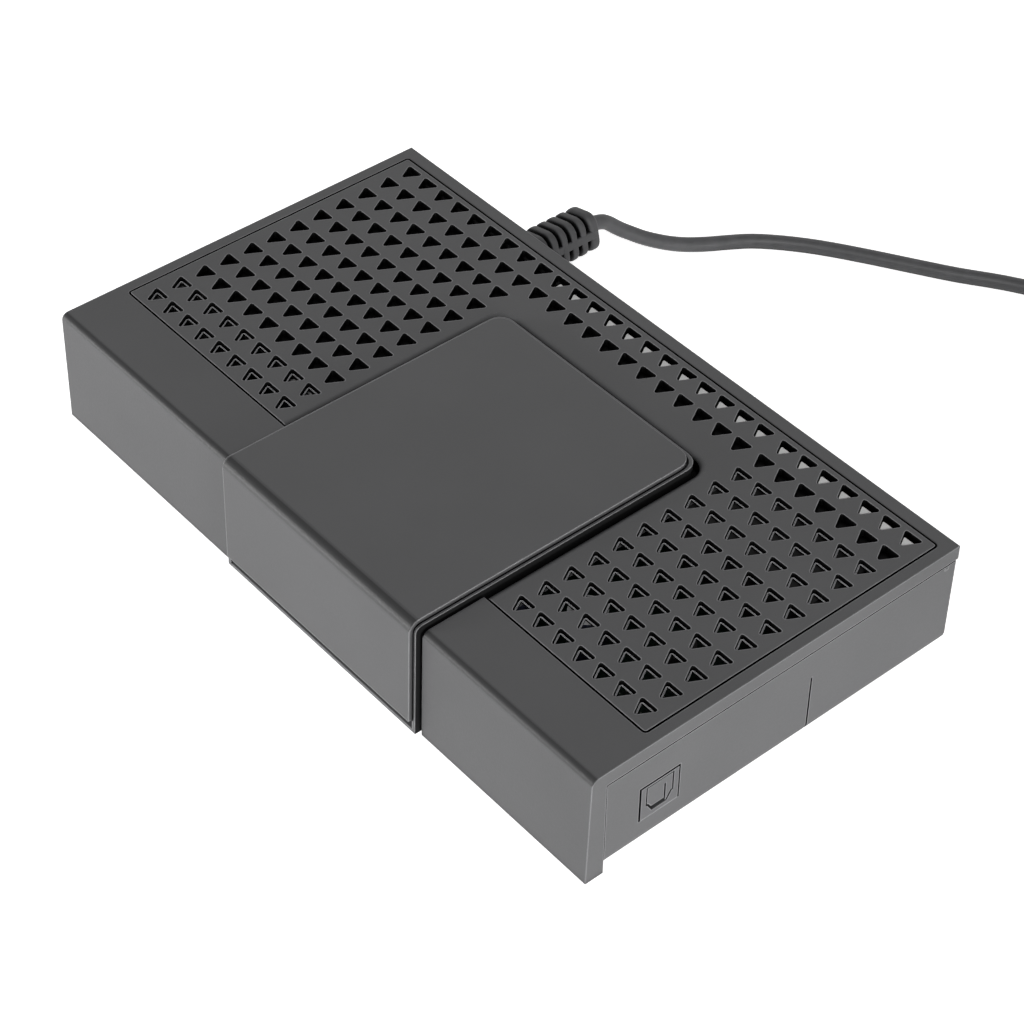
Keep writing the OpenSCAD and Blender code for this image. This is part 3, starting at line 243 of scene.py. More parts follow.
grip_bars = []
rib_ends = [(0, base_length, base_rim)]
reach = base_length + slot_width
while reach < grip_length - tip_length - 0.0002:
    rib_ends.append((reach, reach + rib_step - slot_width, rib_rim))
    reach += rib_step
rib_ends.append((reach, grip_length, tip_rim))
for rib_start, rib_end, rim in rib_ends:
    middle = (rib_start + rib_end) / 2
    side = grip_width * taper(middle)
    grip_bars.append(rounded_bar("grip_rib", side, side, rib_end - rib_start, (0, middle, 0),
                                 side * corner_share, rim))
core = grip_width * core_share
half_way = (0, grip_length / 2, 0)
grip_bars.append(rounded_bar("grip_core", core, core, grip_length - 0.002, half_way, core * corner_share, 0))
grip_bars.append(rounded_bar("grip_spine", grip_width * (tip_share + 0.02), spine_height,
                             grip_length - 0.0015, half_way, 0.0003, 0))
bpy.ops.object.select_all(action="DESELECT")
for bar in grip_bars:
    bar.select_set(True)
plug_grip = grip_bars[0]
bpy.context.view_layer.objects.active = plug_grip
bpy.ops.object.join()
plug_grip.name = "plug_grip"
plug_grip.location = plug_tip - Vector((0, grip_length, 0))
plug_grip.rotation_euler = (0, math.radians(grip_tilt), 0)
bpy.ops.object.transform_apply(location=True, rotation=True, scale=True)
bpy.ops.object.shade_smooth_by_angle(angle=math.radians(35))
grip_vinyl = soft_vinyl("grip_vinyl", (0.05, 0.05, 0.052), 0.55, 0.0003)
plug_grip.data.materials.append(grip_vinyl)
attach(plug_grip, "receiver")
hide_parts("dc_plug")

# Barrel of the plug: turned brass, nickel plated, pressed into the moulded grip. Its tip is rounded
# and a fine ring stands behind it.


def turned(name, steps, sides, place, tilt):
    bpy.ops.object.select_all(action="DESELECT")
    radius, height = steps[0]
    bpy.ops.mesh.primitive_circle_add(vertices=sides, radius=radius, fill_type="NGON", location=(0, 0, 0))
    piece = bpy.context.object
    piece.name = name
    bpy.ops.object.mode_set(mode="EDIT")
    bpy.ops.mesh.select_all(action="SELECT")
    bpy.ops.transform.translate(value=(0, 0, height))
    for next_radius, next_height in steps[1:]:
        bpy.ops.mesh.extrude_region_move(TRANSFORM_OT_translate={"value": (0, 0, next_height - height)})
        share = next_radius / radius
        bpy.ops.transform.resize(value=(share, share, 1), center_override=(0, 0, next_height))
        radius, height = next_radius, next_height
    bpy.ops.mesh.select_all(action="SELECT")
    bpy.ops.mesh.normals_make_consistent(inside=False)
    bpy.ops.object.mode_set(mode="OBJECT")
    piece.location = place
    piece.rotation_euler = tilt
    bpy.ops.object.transform_apply(location=True, rotation=True, scale=True)
    bpy.ops.object.shade_smooth_by_angle(angle=math.radians(32))
    return piece


def plated_metal(name, colour, roughness, metallic, scratch_turn, tarnish):
    material, tree, shader = fresh_material(name)
    link = tree.links.new
    shader.inputs["Metallic"].default_value = metallic
    place = add_node(tree, "TexCoord")
    turn = add_node(tree, "Mapping", {"Scale": scratch_turn})
    scratches = add_node(tree, "TexNoise", {"Scale": 900, "Detail": 4})
    stains = add_node(tree, "TexNoise", {"Scale": 130, "Detail": 4})
    tone = colour_ramp(tree, 0.35, [c * (1 - tarnish) for c in colour], 0.62, colour)
    gloss = add_node(tree, "MapRange", {"To Min": roughness - 0.08, "To Max": roughness + 0.12})
    edge = add_node(tree, "Bevel", {"Radius": 0.00012})
    edge.samples = 4
    bump = add_node(tree, "Bump", {"Strength": 0.25, "Distance": 0.00002})
    link(place.outputs["Object"], turn.inputs["Vector"])
    link(turn.outputs["Vector"], scratches.inputs["Vector"])
    link(place.outputs["Object"], stains.inputs["Vector"])
    link(stains.outputs["Fac"], tone.inputs["Fac"])
    link(tone.outputs["Color"], shader.inputs["Base Color"])
    link(scratches.outputs["Fac"], gloss.inputs["Value"])
    link(gloss.outputs["Result"], shader.inputs["Roughness"])
    link(scratches.outputs["Fac"], bump.inputs["Height"])
    link(edge.outputs["Normal"], bump.inputs["Normal"])
    link(bump.outputs["Normal"], shader.inputs["Normal"])
    return material


barrel_radius, barrel_bore, barrel_length = 0.00275, 0.00125, 0.0095
barrel_steps = [(barrel_radius, 0), (barrel_radius, 0.0071), (0.00262, 0.0072), (0.00262, 0.0075),
                (barrel_radius, 0.0076), (barrel_radius, 0.0091), (0.00268, 0.0093), (0.0025, 0.00945),
                (0.0022, barrel_length), (0.0015, barrel_length), (0.00132, 0.0094), (barrel_bore, 0.0092),
                (barrel_bore, 0.0012)]
barrel = turned("barrel", barrel_steps, 48, plug_tip - Vector((0, grip_length, 0)),
                (math.radians(90), 0, 0))
nickel = plated_metal("nickel", (0.62, 0.61, 0.58), 0.24, 1, (1, 0.06, 1), 0.12)
barrel.data.materials.append(nickel)
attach(barrel, "receiver")
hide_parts("plug_barrel")

# Tie of the coil: a strap of soft black rubber, stretched round the bundle of turns. Fine grooves
# run along its outside.
tie_width, tie_wall, tie_half, tie_height = 0.006, tie_under, 0.0079125, 0.0172
tie_corner, tie_rim = 0.0021, 0.00022
bpy.ops.object.select_all(action="DESELECT")
bpy.ops.mesh.primitive_cube_add(size=1, location=(0, 0, 0))
tie_strap = bpy.context.object
tie_strap.name = "tie_strap"
bpy.ops.object.mode_set(mode="EDIT")
bpy.ops.mesh.select_all(action="SELECT")
bpy.ops.transform.resize(value=(tie_width, 2 * tie_half, tie_height))
edge_picker(tie_strap, lambda edge: abs((edge.verts[0].co - edge.verts[1].co).x) > tie_width / 2)
bpy.ops.mesh.bevel(offset=tie_corner, segments=6, affect="EDGES")
bpy.ops.mesh.select_mode(type="FACE")
bpy.ops.mesh.select_all(action="DESELECT")
tie_shape = bmesh.from_edit_mesh(tie_strap.data)
for face in tie_shape.faces:
    face.select_set(abs(face.normal.x) > 0.9)
bmesh.update_edit_mesh(tie_strap.data)
bpy.ops.mesh.inset(thickness=tie_wall, use_even_offset=True)
bpy.ops.mesh.bridge_edge_loops()
edge_picker(tie_strap, lambda edge: all(abs(abs(v.co.x) - tie_width / 2) < same_place for v in edge.verts))
bpy.ops.mesh.bevel(offset=tie_rim, segments=2, affect="EDGES")
bpy.ops.mesh.select_all(action="SELECT")
bpy.ops.mesh.normals_make_consistent(inside=False)
bpy.ops.object.mode_set(mode="OBJECT")
tie_strap.location = (coil_middle.x, coil_middle.y - coil_mean, tie_height / 2)
bpy.ops.object.transform_apply(location=True, rotation=True, scale=True)
bpy.ops.object.shade_smooth_by_angle(angle=math.radians(40))


def grooved_rubber(name, colour, roughness, groove_scale):
    material = soft_vinyl(name, colour, roughness, 0.0003)
    link = material.node_tree.links.new
    grooves = add_node(material.node_tree, "TexWave", {"Scale": groove_scale, "Distortion": 0.4})
    ridges = add_node(material.node_tree, "Bump", {"Strength": 0.5, "Distance": 0.0001})
    link(node_of(material, "TexCoord").outputs["Object"], grooves.inputs["Vector"])
    link(grooves.outputs["Fac"], ridges.inputs["Height"])
    link(ridges.outputs["Normal"], node_of(material, "Bump").inputs["Normal"])
    return material


tie_rubber = grooved_rubber("tie_rubber", (0.022, 0.022, 0.024), 0.62, 320)
tie_strap.data.materials.append(tie_rubber)
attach(tie_strap, "receiver")
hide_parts("coil_tie")

# Plug-in supply: two black mouldings welded along a parting groove, rounded for the hand, with a
# raised seat for the two round pins. The relief grips the lead, and the pins wear half sleeves.


def join_pieces(pieces, name):
    bpy.ops.object.select_all(action="DESELECT")
    for piece in pieces:
        piece.select_set(True)
    bpy.context.view_layer.objects.active = pieces[0]
    if len(pieces) > 1:
        bpy.ops.object.join()
    pieces[0].name = name
    return pieces[0]


def own_copies(piece, placings):
    copies = []
    for placing in placings:
        twin = piece.copy()
        twin.data = piece.data.copy()
        twin.data.transform(placing)
        bpy.context.collection.objects.link(twin)
        copies.append(twin)
    bpy.data.objects.remove(piece)
    return copies


# Moulded plastic with random mottle and grain, plus painted light: shade in crevices, highlights on edges, an
# optional darker front fold,
# darkened faces turned given ways, and dark hole walls and lip tops with bright lip rims.
def moulded_plastic(name, colour, roughness, grain_size, grain_depth, mottle=0.05, edge_light=2, fold_shade=1,
                    lip_light=None, crevice_reach=0.0035, shaded_ways=()):
    material, tree, shader = fresh_material(name)
    link = tree.links.new

    def number(operation, first, second, clamped=True):
        node = add_node(tree, "Math")
        node.operation = operation
        node.use_clamp = operation == "MULTIPLY" and clamped
        for socket, value in zip(node.inputs, (first, second)):
            if isinstance(value, (int, float)):
                socket.default_value = value
            else:
                link(value, socket)
        return node.outputs["Value"]

    def spread(value, from_min, from_max, to_min, to_max):
        node = add_node(tree, "MapRange")
        for socket, level in (("Value", value), ("From Min", from_min), ("From Max", from_max),
                              ("To Min", to_min), ("To Max", to_max)):
            if isinstance(level, (int, float)):
                node.inputs[socket].default_value = level
            else:
                link(level, node.inputs[socket])
        return node.outputs["Result"]

    def facing(normal, way):
        node = add_node(tree, "VectorMath")
        node.operation = "DOT_PRODUCT"
        link(normal, node.inputs[0])
        if isinstance(way, tuple):
            node.inputs[1].default_value = way
        else:
            link(way, node.inputs[1])
        return node.outputs["Value"]

    place = add_node(tree, "TexCoord")
    surface = add_node(tree, "NewGeometry").outputs["Normal"]
    clouds = add_node(tree, "TexNoise", {"Scale": 45, "Detail": 3})
    tone = colour_ramp(tree, 0.3, [c * (1 - mottle) for c in colour], 0.7, [c * (1 + mottle) for c in colour])
    grain = add_node(tree, "TexNoise", {"Scale": 1 / grain_size, "Detail": 2})
    edge = add_node(tree, "Bevel", {"Radius": 0.00042})
    edge.samples = 8
    bump = add_node(tree, "Bump", {"Strength": 0.35, "Distance": grain_depth})
    # Painted shade: ambient occlusion darkens the base colour and the specular level in crevices, gaps and
    # holes.
    crevice = add_node(tree, "AmbientOcclusion", {"Distance": crevice_reach})
    crevice.samples = 8
    rounded = edge.outputs["Normal"]
    crevice_shade = spread(crevice.outputs["AO"], 0.36, 0.84, 0.03, 1)
    # Painted highlight: the base colour is made lighter along edges, where the rounded normal turns away from
    # the face.
    turned_away = facing(rounded, surface)
    edge_highlight = number("MULTIPLY", spread(turned_away, 0.994, 0.94, 0, 1), crevice_shade)
    edge_level = spread(edge_highlight, 0, 1, 1, edge_light)
    # Painted shade: faces that turn from the top towards the front, the front fold, are darkened by the fold
    # factor.
    upward = spread(facing(rounded, (0, 0, 1)), 0.2, 0.4, 0, 1)
    fold = number("MULTIPLY", number("MULTIPLY", facing(rounded, (0, 1, 0)), -4), upward)
    fold_level = spread(fold, 0, 1, 1, fold_shade)
    strength = number("MULTIPLY", number("MULTIPLY", edge_level, fold_level, False), crevice_shade, False)
    shaded_specular = number("MULTIPLY", crevice_shade, 0.3)
    # Painted shade: faces turned towards each of the shaded ways are darkened to a tenth and lose their
    # specular.
    for way in shaded_ways:
        side_shade = number("MULTIPLY", number("GREATER_THAN", facing(surface, way), 0.55), 0.9)
        open_face = number("SUBTRACT", 1, side_shade)
        strength = number("MULTIPLY", strength, open_face, False)
        shaded_specular = number("MULTIPLY", shaded_specular, open_face)
    # Painted shade and highlight: lip tops below lip_top are painted near black with a painted highlight on
    # their inner rim,
    # and steep hole walls are painted dark with no specular.
    if lip_light:
        lip_top, lip_level = lip_light
        where = add_node(tree, "SeparateXYZ")
        link(place.outputs["Object"], where.inputs[0])
        upright = facing(surface, (0, 0, 1))
        lip = number("MULTIPLY", number("LESS_THAN", where.outputs["Z"], lip_top),
                     number("GREATER_THAN", upright, 0.8))
        rim = spread(turned_away, 0.93, 0.8, 0.05, lip_level)
        strength = spread(lip, 0, 1, strength, rim)
        wall_shade = number("MULTIPLY", number("LESS_THAN", upright, 0.5), 0.85)
        strength = number("MULTIPLY", strength, number("SUBTRACT", 1, wall_shade), False)
        shaded_specular = number("MULTIPLY", shaded_specular, number("SUBTRACT", 1, number("MAXIMUM", lip, wall_shade)))
    dim = add_node(tree, "VectorMath")
    dim.operation = "SCALE"
    link(place.outputs["Object"], clouds.inputs["Vector"])
    link(place.outputs["Object"], grain.inputs["Vector"])
    link(clouds.outputs["Fac"], tone.inputs["Fac"])
    link(tone.outputs["Color"], dim.inputs[0])
    link(strength, dim.inputs["Scale"])
    link(dim.outputs["Vector"], shader.inputs["Base Color"])
    link(shaded_specular, shader.inputs["Specular IOR Level"])
    link(spread(grain.outputs["Fac"], 0, 1, roughness - 0.05, roughness + 0.06), shader.inputs["Roughness"])
    link(grain.outputs["Fac"], bump.inputs["Height"])
    link(rounded, bump.inputs["Normal"])
    link(bump.outputs["Normal"], shader.inputs["Normal"])
    return material


def finish_node(name, material):
    for material_slot in nodes[name].material_slots:
        material_slot.link = "OBJECT"
        material_slot.material = material


supply_black = moulded_plastic("supply_black", (0.024, 0.024, 0.026), 0.42, 0.0005, 0.00004, mottle=0.06,
                               edge_light=1.5)
sleeve_black = moulded_plastic("sleeve_black", (0.03, 0.03, 0.032), 0.35, 0.0004, 0.00003, edge_light=1.3)
for name in ("supply_case", "supply_cover", "supply_relief"):
    finish_node(name, supply_black)
finish_node("pin_sleeves", sleeve_black)
finish_node("mains_pins", nickel)

# Upper shell and grille: dark grey ABS with a fine spark-eroded grain. The grille is a plate of its own,
# dropped on a ledge of the shell.
# Both carry painted shade in crevices and painted highlights on edges. The shell's front fold is painted
# darker as shade, and the grille's hole walls and lip tops are painted dark with painted highlights on the
# lip rims.
housing_grey = moulded_plastic("housing_grey", (0.071, 0.071, 0.073), 0.52, 0.00045, 0.00006, edge_light=2.6,
                               fold_shade=0.3)
finish_node("top_cover", housing_grey)
grille_grey = moulded_plastic("grille_grey", (0.071, 0.071, 0.073), 0.52, 0.00045, 0.00006, edge_light=3,
                              lip_light=(0.0276, 7))
finish_node("vent_grille", grille_grey)

# Centre trim: the same plastic with a slightly finer grain. The arched plate is welded on a carrier that
# stands in the slot of the shell, so a gap runs round it. The carrier's sides are painted near black as shade
# in that gap, the edges carry painted highlights, and the front folds of plate and carrier are painted darker
# as shade.
trim_grey = moulded_plastic("trim_grey", (0.072, 0.072, 0.074), 0.5, 0.0004, 0.00004, mottle=0.04,
                            edge_light=3, fold_shade=0.25)
finish_node("trim_plate", trim_grey)
carrier_grey = moulded_plastic("carrier_grey", (0.078, 0.078, 0.08), 0.48, 0.0004, 0.00004, mottle=0.04,
                               edge_light=3.2, fold_shade=0.6, crevice_reach=0.001,
                               shaded_ways=((1, 0, 0), (-1, 0, 0)))
finish_node("trim_carrier", carrier_grey)

# Base tray: moulded in the same dark grey and screwed to the shell from below, on four round feet
# of black rubber that stand in shallow seats.
# Painted shade: the tray's faces turned to the front and upwards are darkened, as are its crevices. Its edges
# carry painted highlights.
tray_grey = moulded_plastic("tray_grey", (0.074, 0.074, 0.076), 0.55, 0.0005, 0.00007, edge_light=2.6,
                            shaded_ways=((0, -1, 0), (0, 0, 1)))
finish_node("base_tray", tray_grey)
foot_rubber = soft_vinyl("foot_rubber", (0.02, 0.02, 0.021), 0.75, 0.0005)
finish_node("rubber_feet", foot_rubber)

# Corner blocks: two small bars of the tray's plastic that close its wall beside the rear sheet, one
# at each rear corner. They are welded in flush with the wall.
block_width, block_side, block_rim = 0.002, 0.00105, 0.00006
block_x, block_y, block_z = 0.0826, 0.041725, 0.023575
corner_block = rounded_bar("corner_block", block_width, block_side, block_side, (0, block_y, block_z),
                           block_rim, 0)
corner_blocks = join_pieces(
    own_copies(corner_block, [Matrix.Translation((x, 0, 0)) for x in (-block_x, block_x)]), "corner_blocks")
corner_blocks.data.materials.append(tray_grey)
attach(corner_blocks, "receiver")

# Case screws: black steel with a domed head and a cross recess, driven from below into the four posts
# of the shell.
base_level, screw_head, screw_head_height, screw_dome = 0.002, 0.0023, 0.0014, 0.0005
case_shank, case_tip, board_shank, board_tip = 0.0011, -0.006, 0.0012, -0.0044
case_screw_spots = [(-0.0774, -0.041175), (0.0774, -0.041175), (-0.0788, 0.039425), (0.0788, 0.039425)]


def cross_screw(name, head, head_height, shank, tip, dome):
    steps = [(shank, tip), (shank, 0), (head, 0), (head, head_height - dome),
             (head * 0.94, head_height - dome * 0.45), (head * 0.82, head_height - dome * 0.1),
             (head * 0.62, head_height), (head * 0.4, head_height - dome * 0.3)]
    screw = turned(name, steps, 24, (0, 0, 0), (0, 0, 0))

    def pick_ring(height, between_arms):
        bpy.ops.mesh.select_all(action="DESELECT")
        shape = bmesh.from_edit_mesh(screw.data)
        for vert in shape.verts:
            around = math.degrees(math.atan2(vert.co.y, vert.co.x)) % 90
            vert.select_set(abs(vert.co.z - height) < same_place and (not between_arms or 20 < around < 70))
        bmesh.update_edit_mesh(screw.data)

    bpy.ops.object.mode_set(mode="EDIT")
    bpy.ops.mesh.select_mode(type="VERT")
    for ring_height, sink in ((head_height, 0), (head_height - dome * 0.3, head_height * 0.55)):
        pick_ring(ring_height, True)
        bpy.ops.transform.resize(value=(0.4, 0.4, 1), center_override=(0, 0, ring_height))
        if sink:
            pick_ring(ring_height, False)
            bpy.ops.transform.translate(value=(0, 0, -sink))
    bpy.ops.object.mode_set(mode="OBJECT")
    bpy.ops.object.shade_smooth_by_angle(angle=math.radians(30))
    return screw


def screw_set(name, shank, tip, spots, height, tilt):
    screw = cross_screw(name, screw_head, screw_head_height, shank, tip, screw_dome)
    placings = [Matrix.Translation((x, y, height)) @ Matrix.Rotation(math.radians(x * 9000 % 90), 4, "Z")
                @ Matrix.Rotation(math.radians(tilt), 4, "X") for x, y in spots]
    return join_pieces(own_copies(screw, placings), name + "_set")


case_screw_set = screw_set("case_screw", case_shank, case_tip, case_screw_spots,
                           base_level + screw_head_height / 2, 180)
black_steel = plated_metal("black_steel", (0.05, 0.05, 0.052), 0.38, 0.9, (1, 1, 1), 0.3)
case_screw_set.data.materials.append(black_steel)
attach(case_screw_set, "receiver")
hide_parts("case_screws")

# Rear shield, tuner can and film: tinned sheet steel behind the sockets, bent over under the rear row of
# holes, a folded can of tinned sheet painted dark as shade, and a matte black film that lies under the
# covered rows.
tinned_sheet = plated_metal("tinned_sheet", (0.95, 0.95, 0.94), 0.5, 0, (0.1, 1, 1), 0.05)
finish_node("rear_shield", tinned_sheet)
# The tuner can's tinned sheet is painted dark: painted shade.
shaded_can_sheet = plated_metal("shaded_can_sheet", (0.05, 0.05, 0.05), 0.55, 0.6, (1, 0.1, 1), 0.2)
finish_node("tuner_can", shaded_can_sheet)
black_film = soft_vinyl("black_film", (0.008, 0.008, 0.008), 0.6, 0.0009)
finish_node("insulator_sheet", black_film)

# Aerial socket: turned brass, nickel plated, with a 3/8 inch thread of 32 turns to the inch. The white
# insert holds the contact for the cable's core.
rear_wall, socket_x, socket_z = 0.044225, 0.054, 0.012
thread_crest, thread_root, thread_pitch, thread_end = 0.00476, 0.00436, 0.000794, 0.0075
socket_bore, bore_lead, rear_stub, stub_radius, collar = 0.0029, 0.0002, -0.0037, 0.0034, 0.00576
thread_steps = [(stub_radius, rear_stub), (stub_radius, -0.0022), (collar, -0.0022), (collar, 0.0008),
                (collar - 0.0002, 0.001), (thread_root, 0.001)]
turn_start = 0.0012
while turn_start + thread_pitch < thread_end - 0.0003:
    thread_steps += [(thread_root, turn_start), (thread_crest, turn_start + thread_pitch * 0.35),
                     (thread_crest, turn_start + thread_pitch * 0.5),
                     (thread_root, turn_start + thread_pitch * 0.85)]
    turn_start += thread_pitch
thread_steps += [(0.0044, thread_end - 0.0003), (0.0042, thread_end), (socket_bore + bore_lead, thread_end),
                 (socket_bore, thread_end - bore_lead), (socket_bore, 0)]
aerial = turned("aerial", thread_steps, 64, (socket_x, rear_wall, socket_z), (math.radians(-90), 0, 0))
aerial.data.materials.append(nickel)
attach(aerial, "receiver")
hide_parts("aerial_socket")
insert_white = soft_vinyl("insert_white", (0.78, 0.78, 0.75), 0.4, 0.0005)
finish_node("aerial_insert", insert_white)

# Display and data sockets: folded steel shells, tin plated, each round a black tongue. Rows of gold
# plated contacts lie on the tongues.
for name in ("hdmi_shell", "usb_shell"):
    finish_node(name, nickel)
tongue_black = moulded_plastic("tongue_black", (0.014, 0.014, 0.015), 0.45, 0.0004, 0.00003, edge_light=1.3)
for name in ("hdmi_core", "usb_core", "dc_jack", "board_header"):
    finish_node(name, tongue_black)
gold = plated_metal("gold", (0.83, 0.62, 0.28), 0.22, 1, (1, 0.1, 1), 0.1)


def contact_row(name, count, pitch, width, length, thickness, middle):
    strip = rounded_bar("contact", width, thickness, length, middle, thickness * corner_share, 0)
    shifts = [(place - (count - 1) / 2) * pitch for place in range(count)]
    row = join_pieces(own_copies(strip, [Matrix.Translation((shift, 0, 0)) for shift in shifts]), name)
    row.data.materials.append(gold)
    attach(row, "receiver")
    return row


contact_row("display_contacts", 10, 0.0009, 0.00042, 0.0045, 0.00012, (0.014, 0.04125, 0.01214))
contact_row("data_contacts", 4, 0.0025, 0.0011, 0.0072, 0.00012, (-0.012, 0.0396, 0.01166))
finish_node("jack_pin", gold)

# Optical socket: a block of glass-filled plastic with a flap that swings inwards on two stubs, and the
# red lens of its lamp at the bottom of the bore.
socket_grey = moulded_plastic("socket_grey", (0.072, 0.072, 0.075), 0.5, 0.0004, 0.00004, edge_light=2.4)
for name in ("optical_socket", "optical_shutter"):
    finish_node(name, socket_grey)


def lens_plastic(name, colour, roughness):
    material = soft_vinyl(name, colour, roughness, 0.0008)
    shader = node_of(material, "BsdfPrincipled")
    shader.inputs["Coat Weight"].default_value = 0.8
    shader.inputs["Coat Roughness"].default_value = 0.08
    return material


red_lens = lens_plastic("red_lens", (0.32, 0.012, 0.012), 0.2)
finish_node("optical_emitter", red_lens)

# Main board: dark green lacquer over copper tracks on glass-fibre laminate, held by four screws. The
# front board is of the same laminate.


def lacquered_board(name, colour, track_colour, pad_colour):
    material, tree, shader = fresh_material(name)
    link = tree.links.new
    shader.inputs["Specular IOR Level"].default_value = 0.25
    place = add_node(tree, "TexCoord")
    cells = add_node(tree, "TexVoronoi", {"Scale": 420})
    cells.distance = "CHEBYCHEV"
    tracks = add_node(tree, "TexBrick", {"Scale": 260, "Mortar Size": 0.03, "Color1": (*colour, 1),
                                         "Color2": (*[c * 1.25 for c in colour], 1),
                                         "Mortar": (*track_colour, 1)})
    pads = colour_ramp(tree, 0.05, (1, 1, 1), 0.08, (0, 0, 0))
    blend = add_node(tree, "Mix")
    blend.data_type = "RGBA"
    blend.inputs[7].default_value = (*pad_colour, 1)
    gloss = add_node(tree, "MapRange", {"To Min": 0.6, "To Max": 0.45})
    bump = add_node(tree, "Bump", {"Strength": 0.4, "Distance": 0.00004})
    link(place.outputs["Object"], cells.inputs["Vector"])
    link(place.outputs["Object"], tracks.inputs["Vector"])
    link(cells.outputs["Distance"], pads.inputs["Fac"])
    link(pads.outputs["Color"], blend.inputs["Factor"])
    link(tracks.outputs["Color"], blend.inputs[6])
    link(blend.outputs[2], shader.inputs["Base Color"])
    link(tracks.outputs["Fac"], gloss.inputs["Value"])
    link(gloss.outputs["Result"], shader.inputs["Roughness"])
    link(tracks.outputs["Fac"], bump.inputs["Height"])
    link(bump.outputs["Normal"], shader.inputs["Normal"])
    return material


board_green = lacquered_board("board_green", (0.004, 0.012, 0.008), (0.008, 0.024, 0.015), (0.36, 0.34, 0.3))
for name in ("main_board", "front_board"):
    finish_node(name, board_green)
deck_level = 0.0082
board_screw_spots = [(x, y) for x in (-0.068, 0.068) for y in (-0.035575, 0.009525)]
board_screw_set = screw_set("board_screw", board_shank, board_tip, board_screw_spots, deck_level, 0)
zinc = plated_metal("zinc", (0.5, 0.5, 0.5), 0.32, 1, (1, 1, 1), 0.15)
board_screw_set.data.materials.append(zinc)
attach(board_screw_set, "receiver")
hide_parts("board_screws")

# Chips, cooler, capacitors and chokes: moulded epoxy, black anodised aluminium, sleeved cans with a bare
# grooved top, and ferrite, all soldered to the main board.
epoxy_black = soft_vinyl("epoxy_black", (0.018, 0.018, 0.019), 0.55, 0.0002)
for name in ("main_chip", "memory_chips"):
    finish_node(name, epoxy_black)
cooler_black = plated_metal("cooler_black", (0.03, 0.03, 0.032), 0.4, 0.6, (1, 0.05, 1), 0.2)
finish_node("heat_sink", cooler_black)
ferrite = soft_vinyl("ferrite", (0.04, 0.038, 0.038), 0.5, 0.0002)
finish_node("chokes", ferrite)


def sleeved_can(name, sleeve, bare, sleeve_end):
    material = soft_vinyl(name, sleeve, 0.3, 0.0006)
    tree = material.node_tree
    link = tree.links.new
    where = add_node(tree, "SeparateXYZ")
    top = add_node(tree, "Math")
    top.operation = "GREATER_THAN"
    top.inputs[1].default_value = sleeve_end
    blend = add_node(tree, "Mix")
    blend.data_type = "RGBA"
    blend.inputs[7].default_value = (*bare, 1)
    link(node_of(material, "TexCoord").outputs["Object"], where.inputs[0])
    link(where.outputs["Z"], top.inputs[0])
    link(top.outputs["Value"], blend.inputs["Factor"])
    link(node_of(material, "ValToRGB").outputs["Color"], blend.inputs[6])
    link(blend.outputs[2], node_of(material, "BsdfPrincipled").inputs["Base Color"])
    return material


can_sleeve = sleeved_can("can_sleeve", (0.02, 0.022, 0.035), (0.5, 0.5, 0.5), 0.0196)
finish_node("capacitors", can_sleeve)

# Parts of the front board: the display behind its dark window, the remote eye of dark tinted epoxy
# and a clear lamp, all soldered to the board behind the trim.
window_black = lens_plastic("window_black", (0.008, 0.008, 0.009), 0.16)
finish_node("display_module", window_black)
eye_dark = lens_plastic("eye_dark", (0.02, 0.006, 0.008), 0.2)
finish_node("ir_receiver", eye_dark)
lamp_clear = lens_plastic("lamp_clear", (0.62, 0.66, 0.62), 0.22)
finish_node("status_led", lamp_clear)

# Table and light: a plain white sweep, a soft key behind on the left, a small lamp beside the camera
# that reaches into the holes, low fills at the front left and on the right, and white surroundings.
table_size, table_level, diffuse_sky, high_sky = 8, 0.74, 0.12, 0.5
bpy.ops.mesh.primitive_plane_add(size=table_size, location=(0, 0, 0))
table = bpy.context.object
table.name = "table"


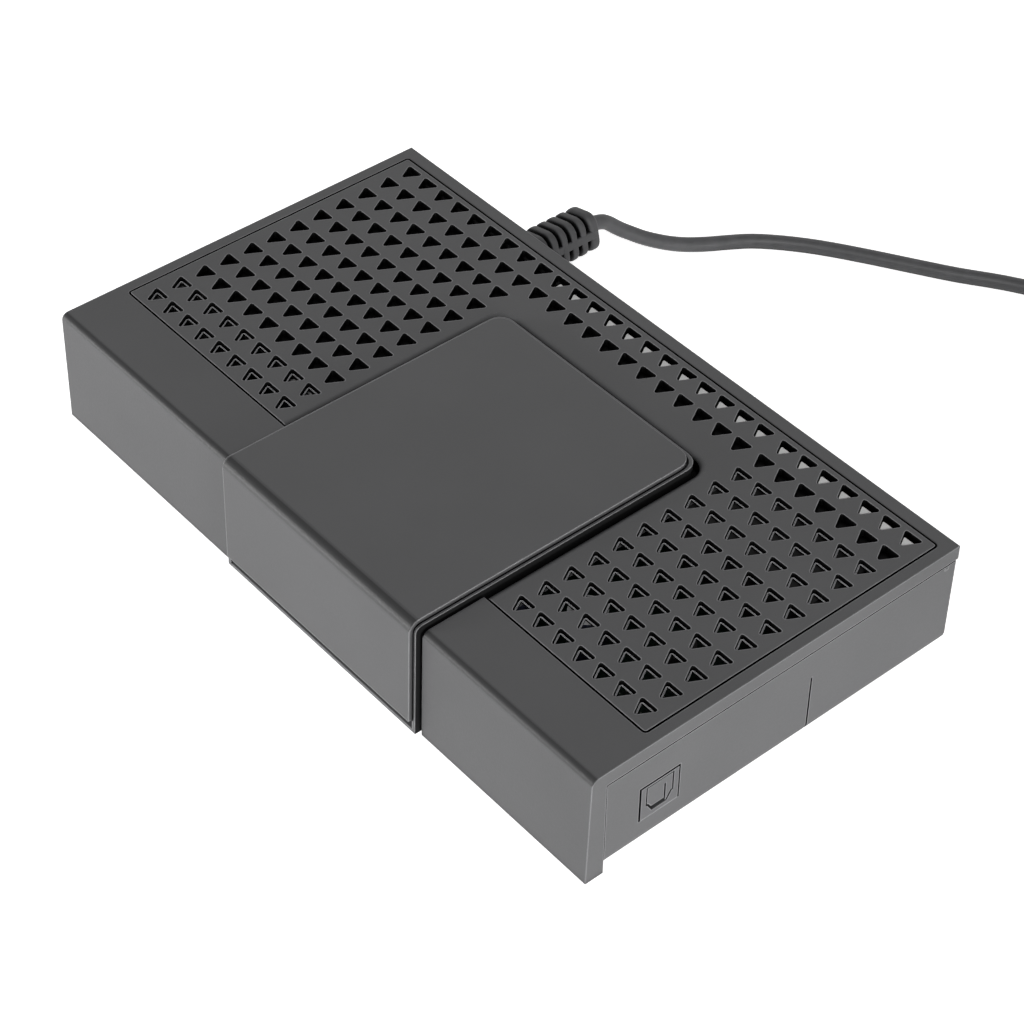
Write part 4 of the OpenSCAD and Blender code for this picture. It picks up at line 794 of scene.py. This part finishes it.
def seen_ray(tree):
    path = add_node(tree, "LightPath")
    seen = path.outputs["Is Camera Ray"]
    for other in ("Is Glossy Ray", "Is Transmission Ray"):
        either = add_node(tree, "Math")
        either.operation = "MAXIMUM"
        tree.links.new(seen, either.inputs[0])
        tree.links.new(path.outputs[other], either.inputs[1])
        seen = either.outputs["Value"]
    return seen


table_white, table_tree, table_shader = fresh_material("table_white")
table_shader.inputs["Base Color"].default_value = (0.9, 0.9, 0.9, 1)
table_shader.inputs["Roughness"].default_value = 0.9
table_shader.inputs["Emission Color"].default_value = (1, 1, 1, 1)
table_lift = add_node(table_tree, "Math")
table_lift.operation = "MULTIPLY"
table_lift.inputs[1].default_value = table_level
table_tree.links.new(seen_ray(table_tree), table_lift.inputs[0])
table_tree.links.new(table_lift.outputs["Value"], table_shader.inputs["Emission Strength"])
table.data.materials.append(table_white)
world = bpy.data.worlds.new("studio")
bpy.context.scene.world = world
world.use_nodes = True
world_tree = world.node_tree
world_light = world_tree.nodes["Background"]
world_light.inputs["Color"].default_value = (1, 1, 1, 1)
world_place = add_node(world_tree, "TexCoord")
world_height = add_node(world_tree, "SeparateXYZ")
ceiling = add_node(world_tree, "MapRange",
                   {"From Min": 0.1, "From Max": 0.6, "To Min": 1, "To Max": high_sky})
world_level = add_node(world_tree, "MapRange", {"To Min": diffuse_sky})
world_tree.links.new(world_place.outputs["Generated"], world_height.inputs[0])
world_tree.links.new(world_height.outputs["Z"], ceiling.inputs["Value"])
world_tree.links.new(ceiling.outputs["Result"], world_level.inputs["To Max"])
world_tree.links.new(seen_ray(world_tree), world_level.inputs["Value"])
world_tree.links.new(world_level.outputs["Result"], world_light.inputs["Strength"])


def soft_box(name, place, size, power):
    bpy.ops.object.light_add(type="AREA", location=place)
    lamp = bpy.context.object
    lamp.name = name
    lamp.data.shape = "DISK"
    lamp.data.size = size
    lamp.data.energy = power
    aim = Vector((0, 0, 0.01)) - Vector(place)
    lamp.rotation_euler = aim.to_track_quat("-Z", "Y").to_euler()


soft_box("key_box", (-1.1, 1.0, 1.3), 1.3, 5)
soft_box("view_box", (0.89, -0.757, 1.096), 0.25, 14)
soft_box("front_box", (-0.9, -1.25, 0.12), 0.5, 26)
soft_box("side_box", (1.6, -0.25, 0.12), 0.5, 34)
bpy.context.scene.view_settings.view_transform = "Standard"
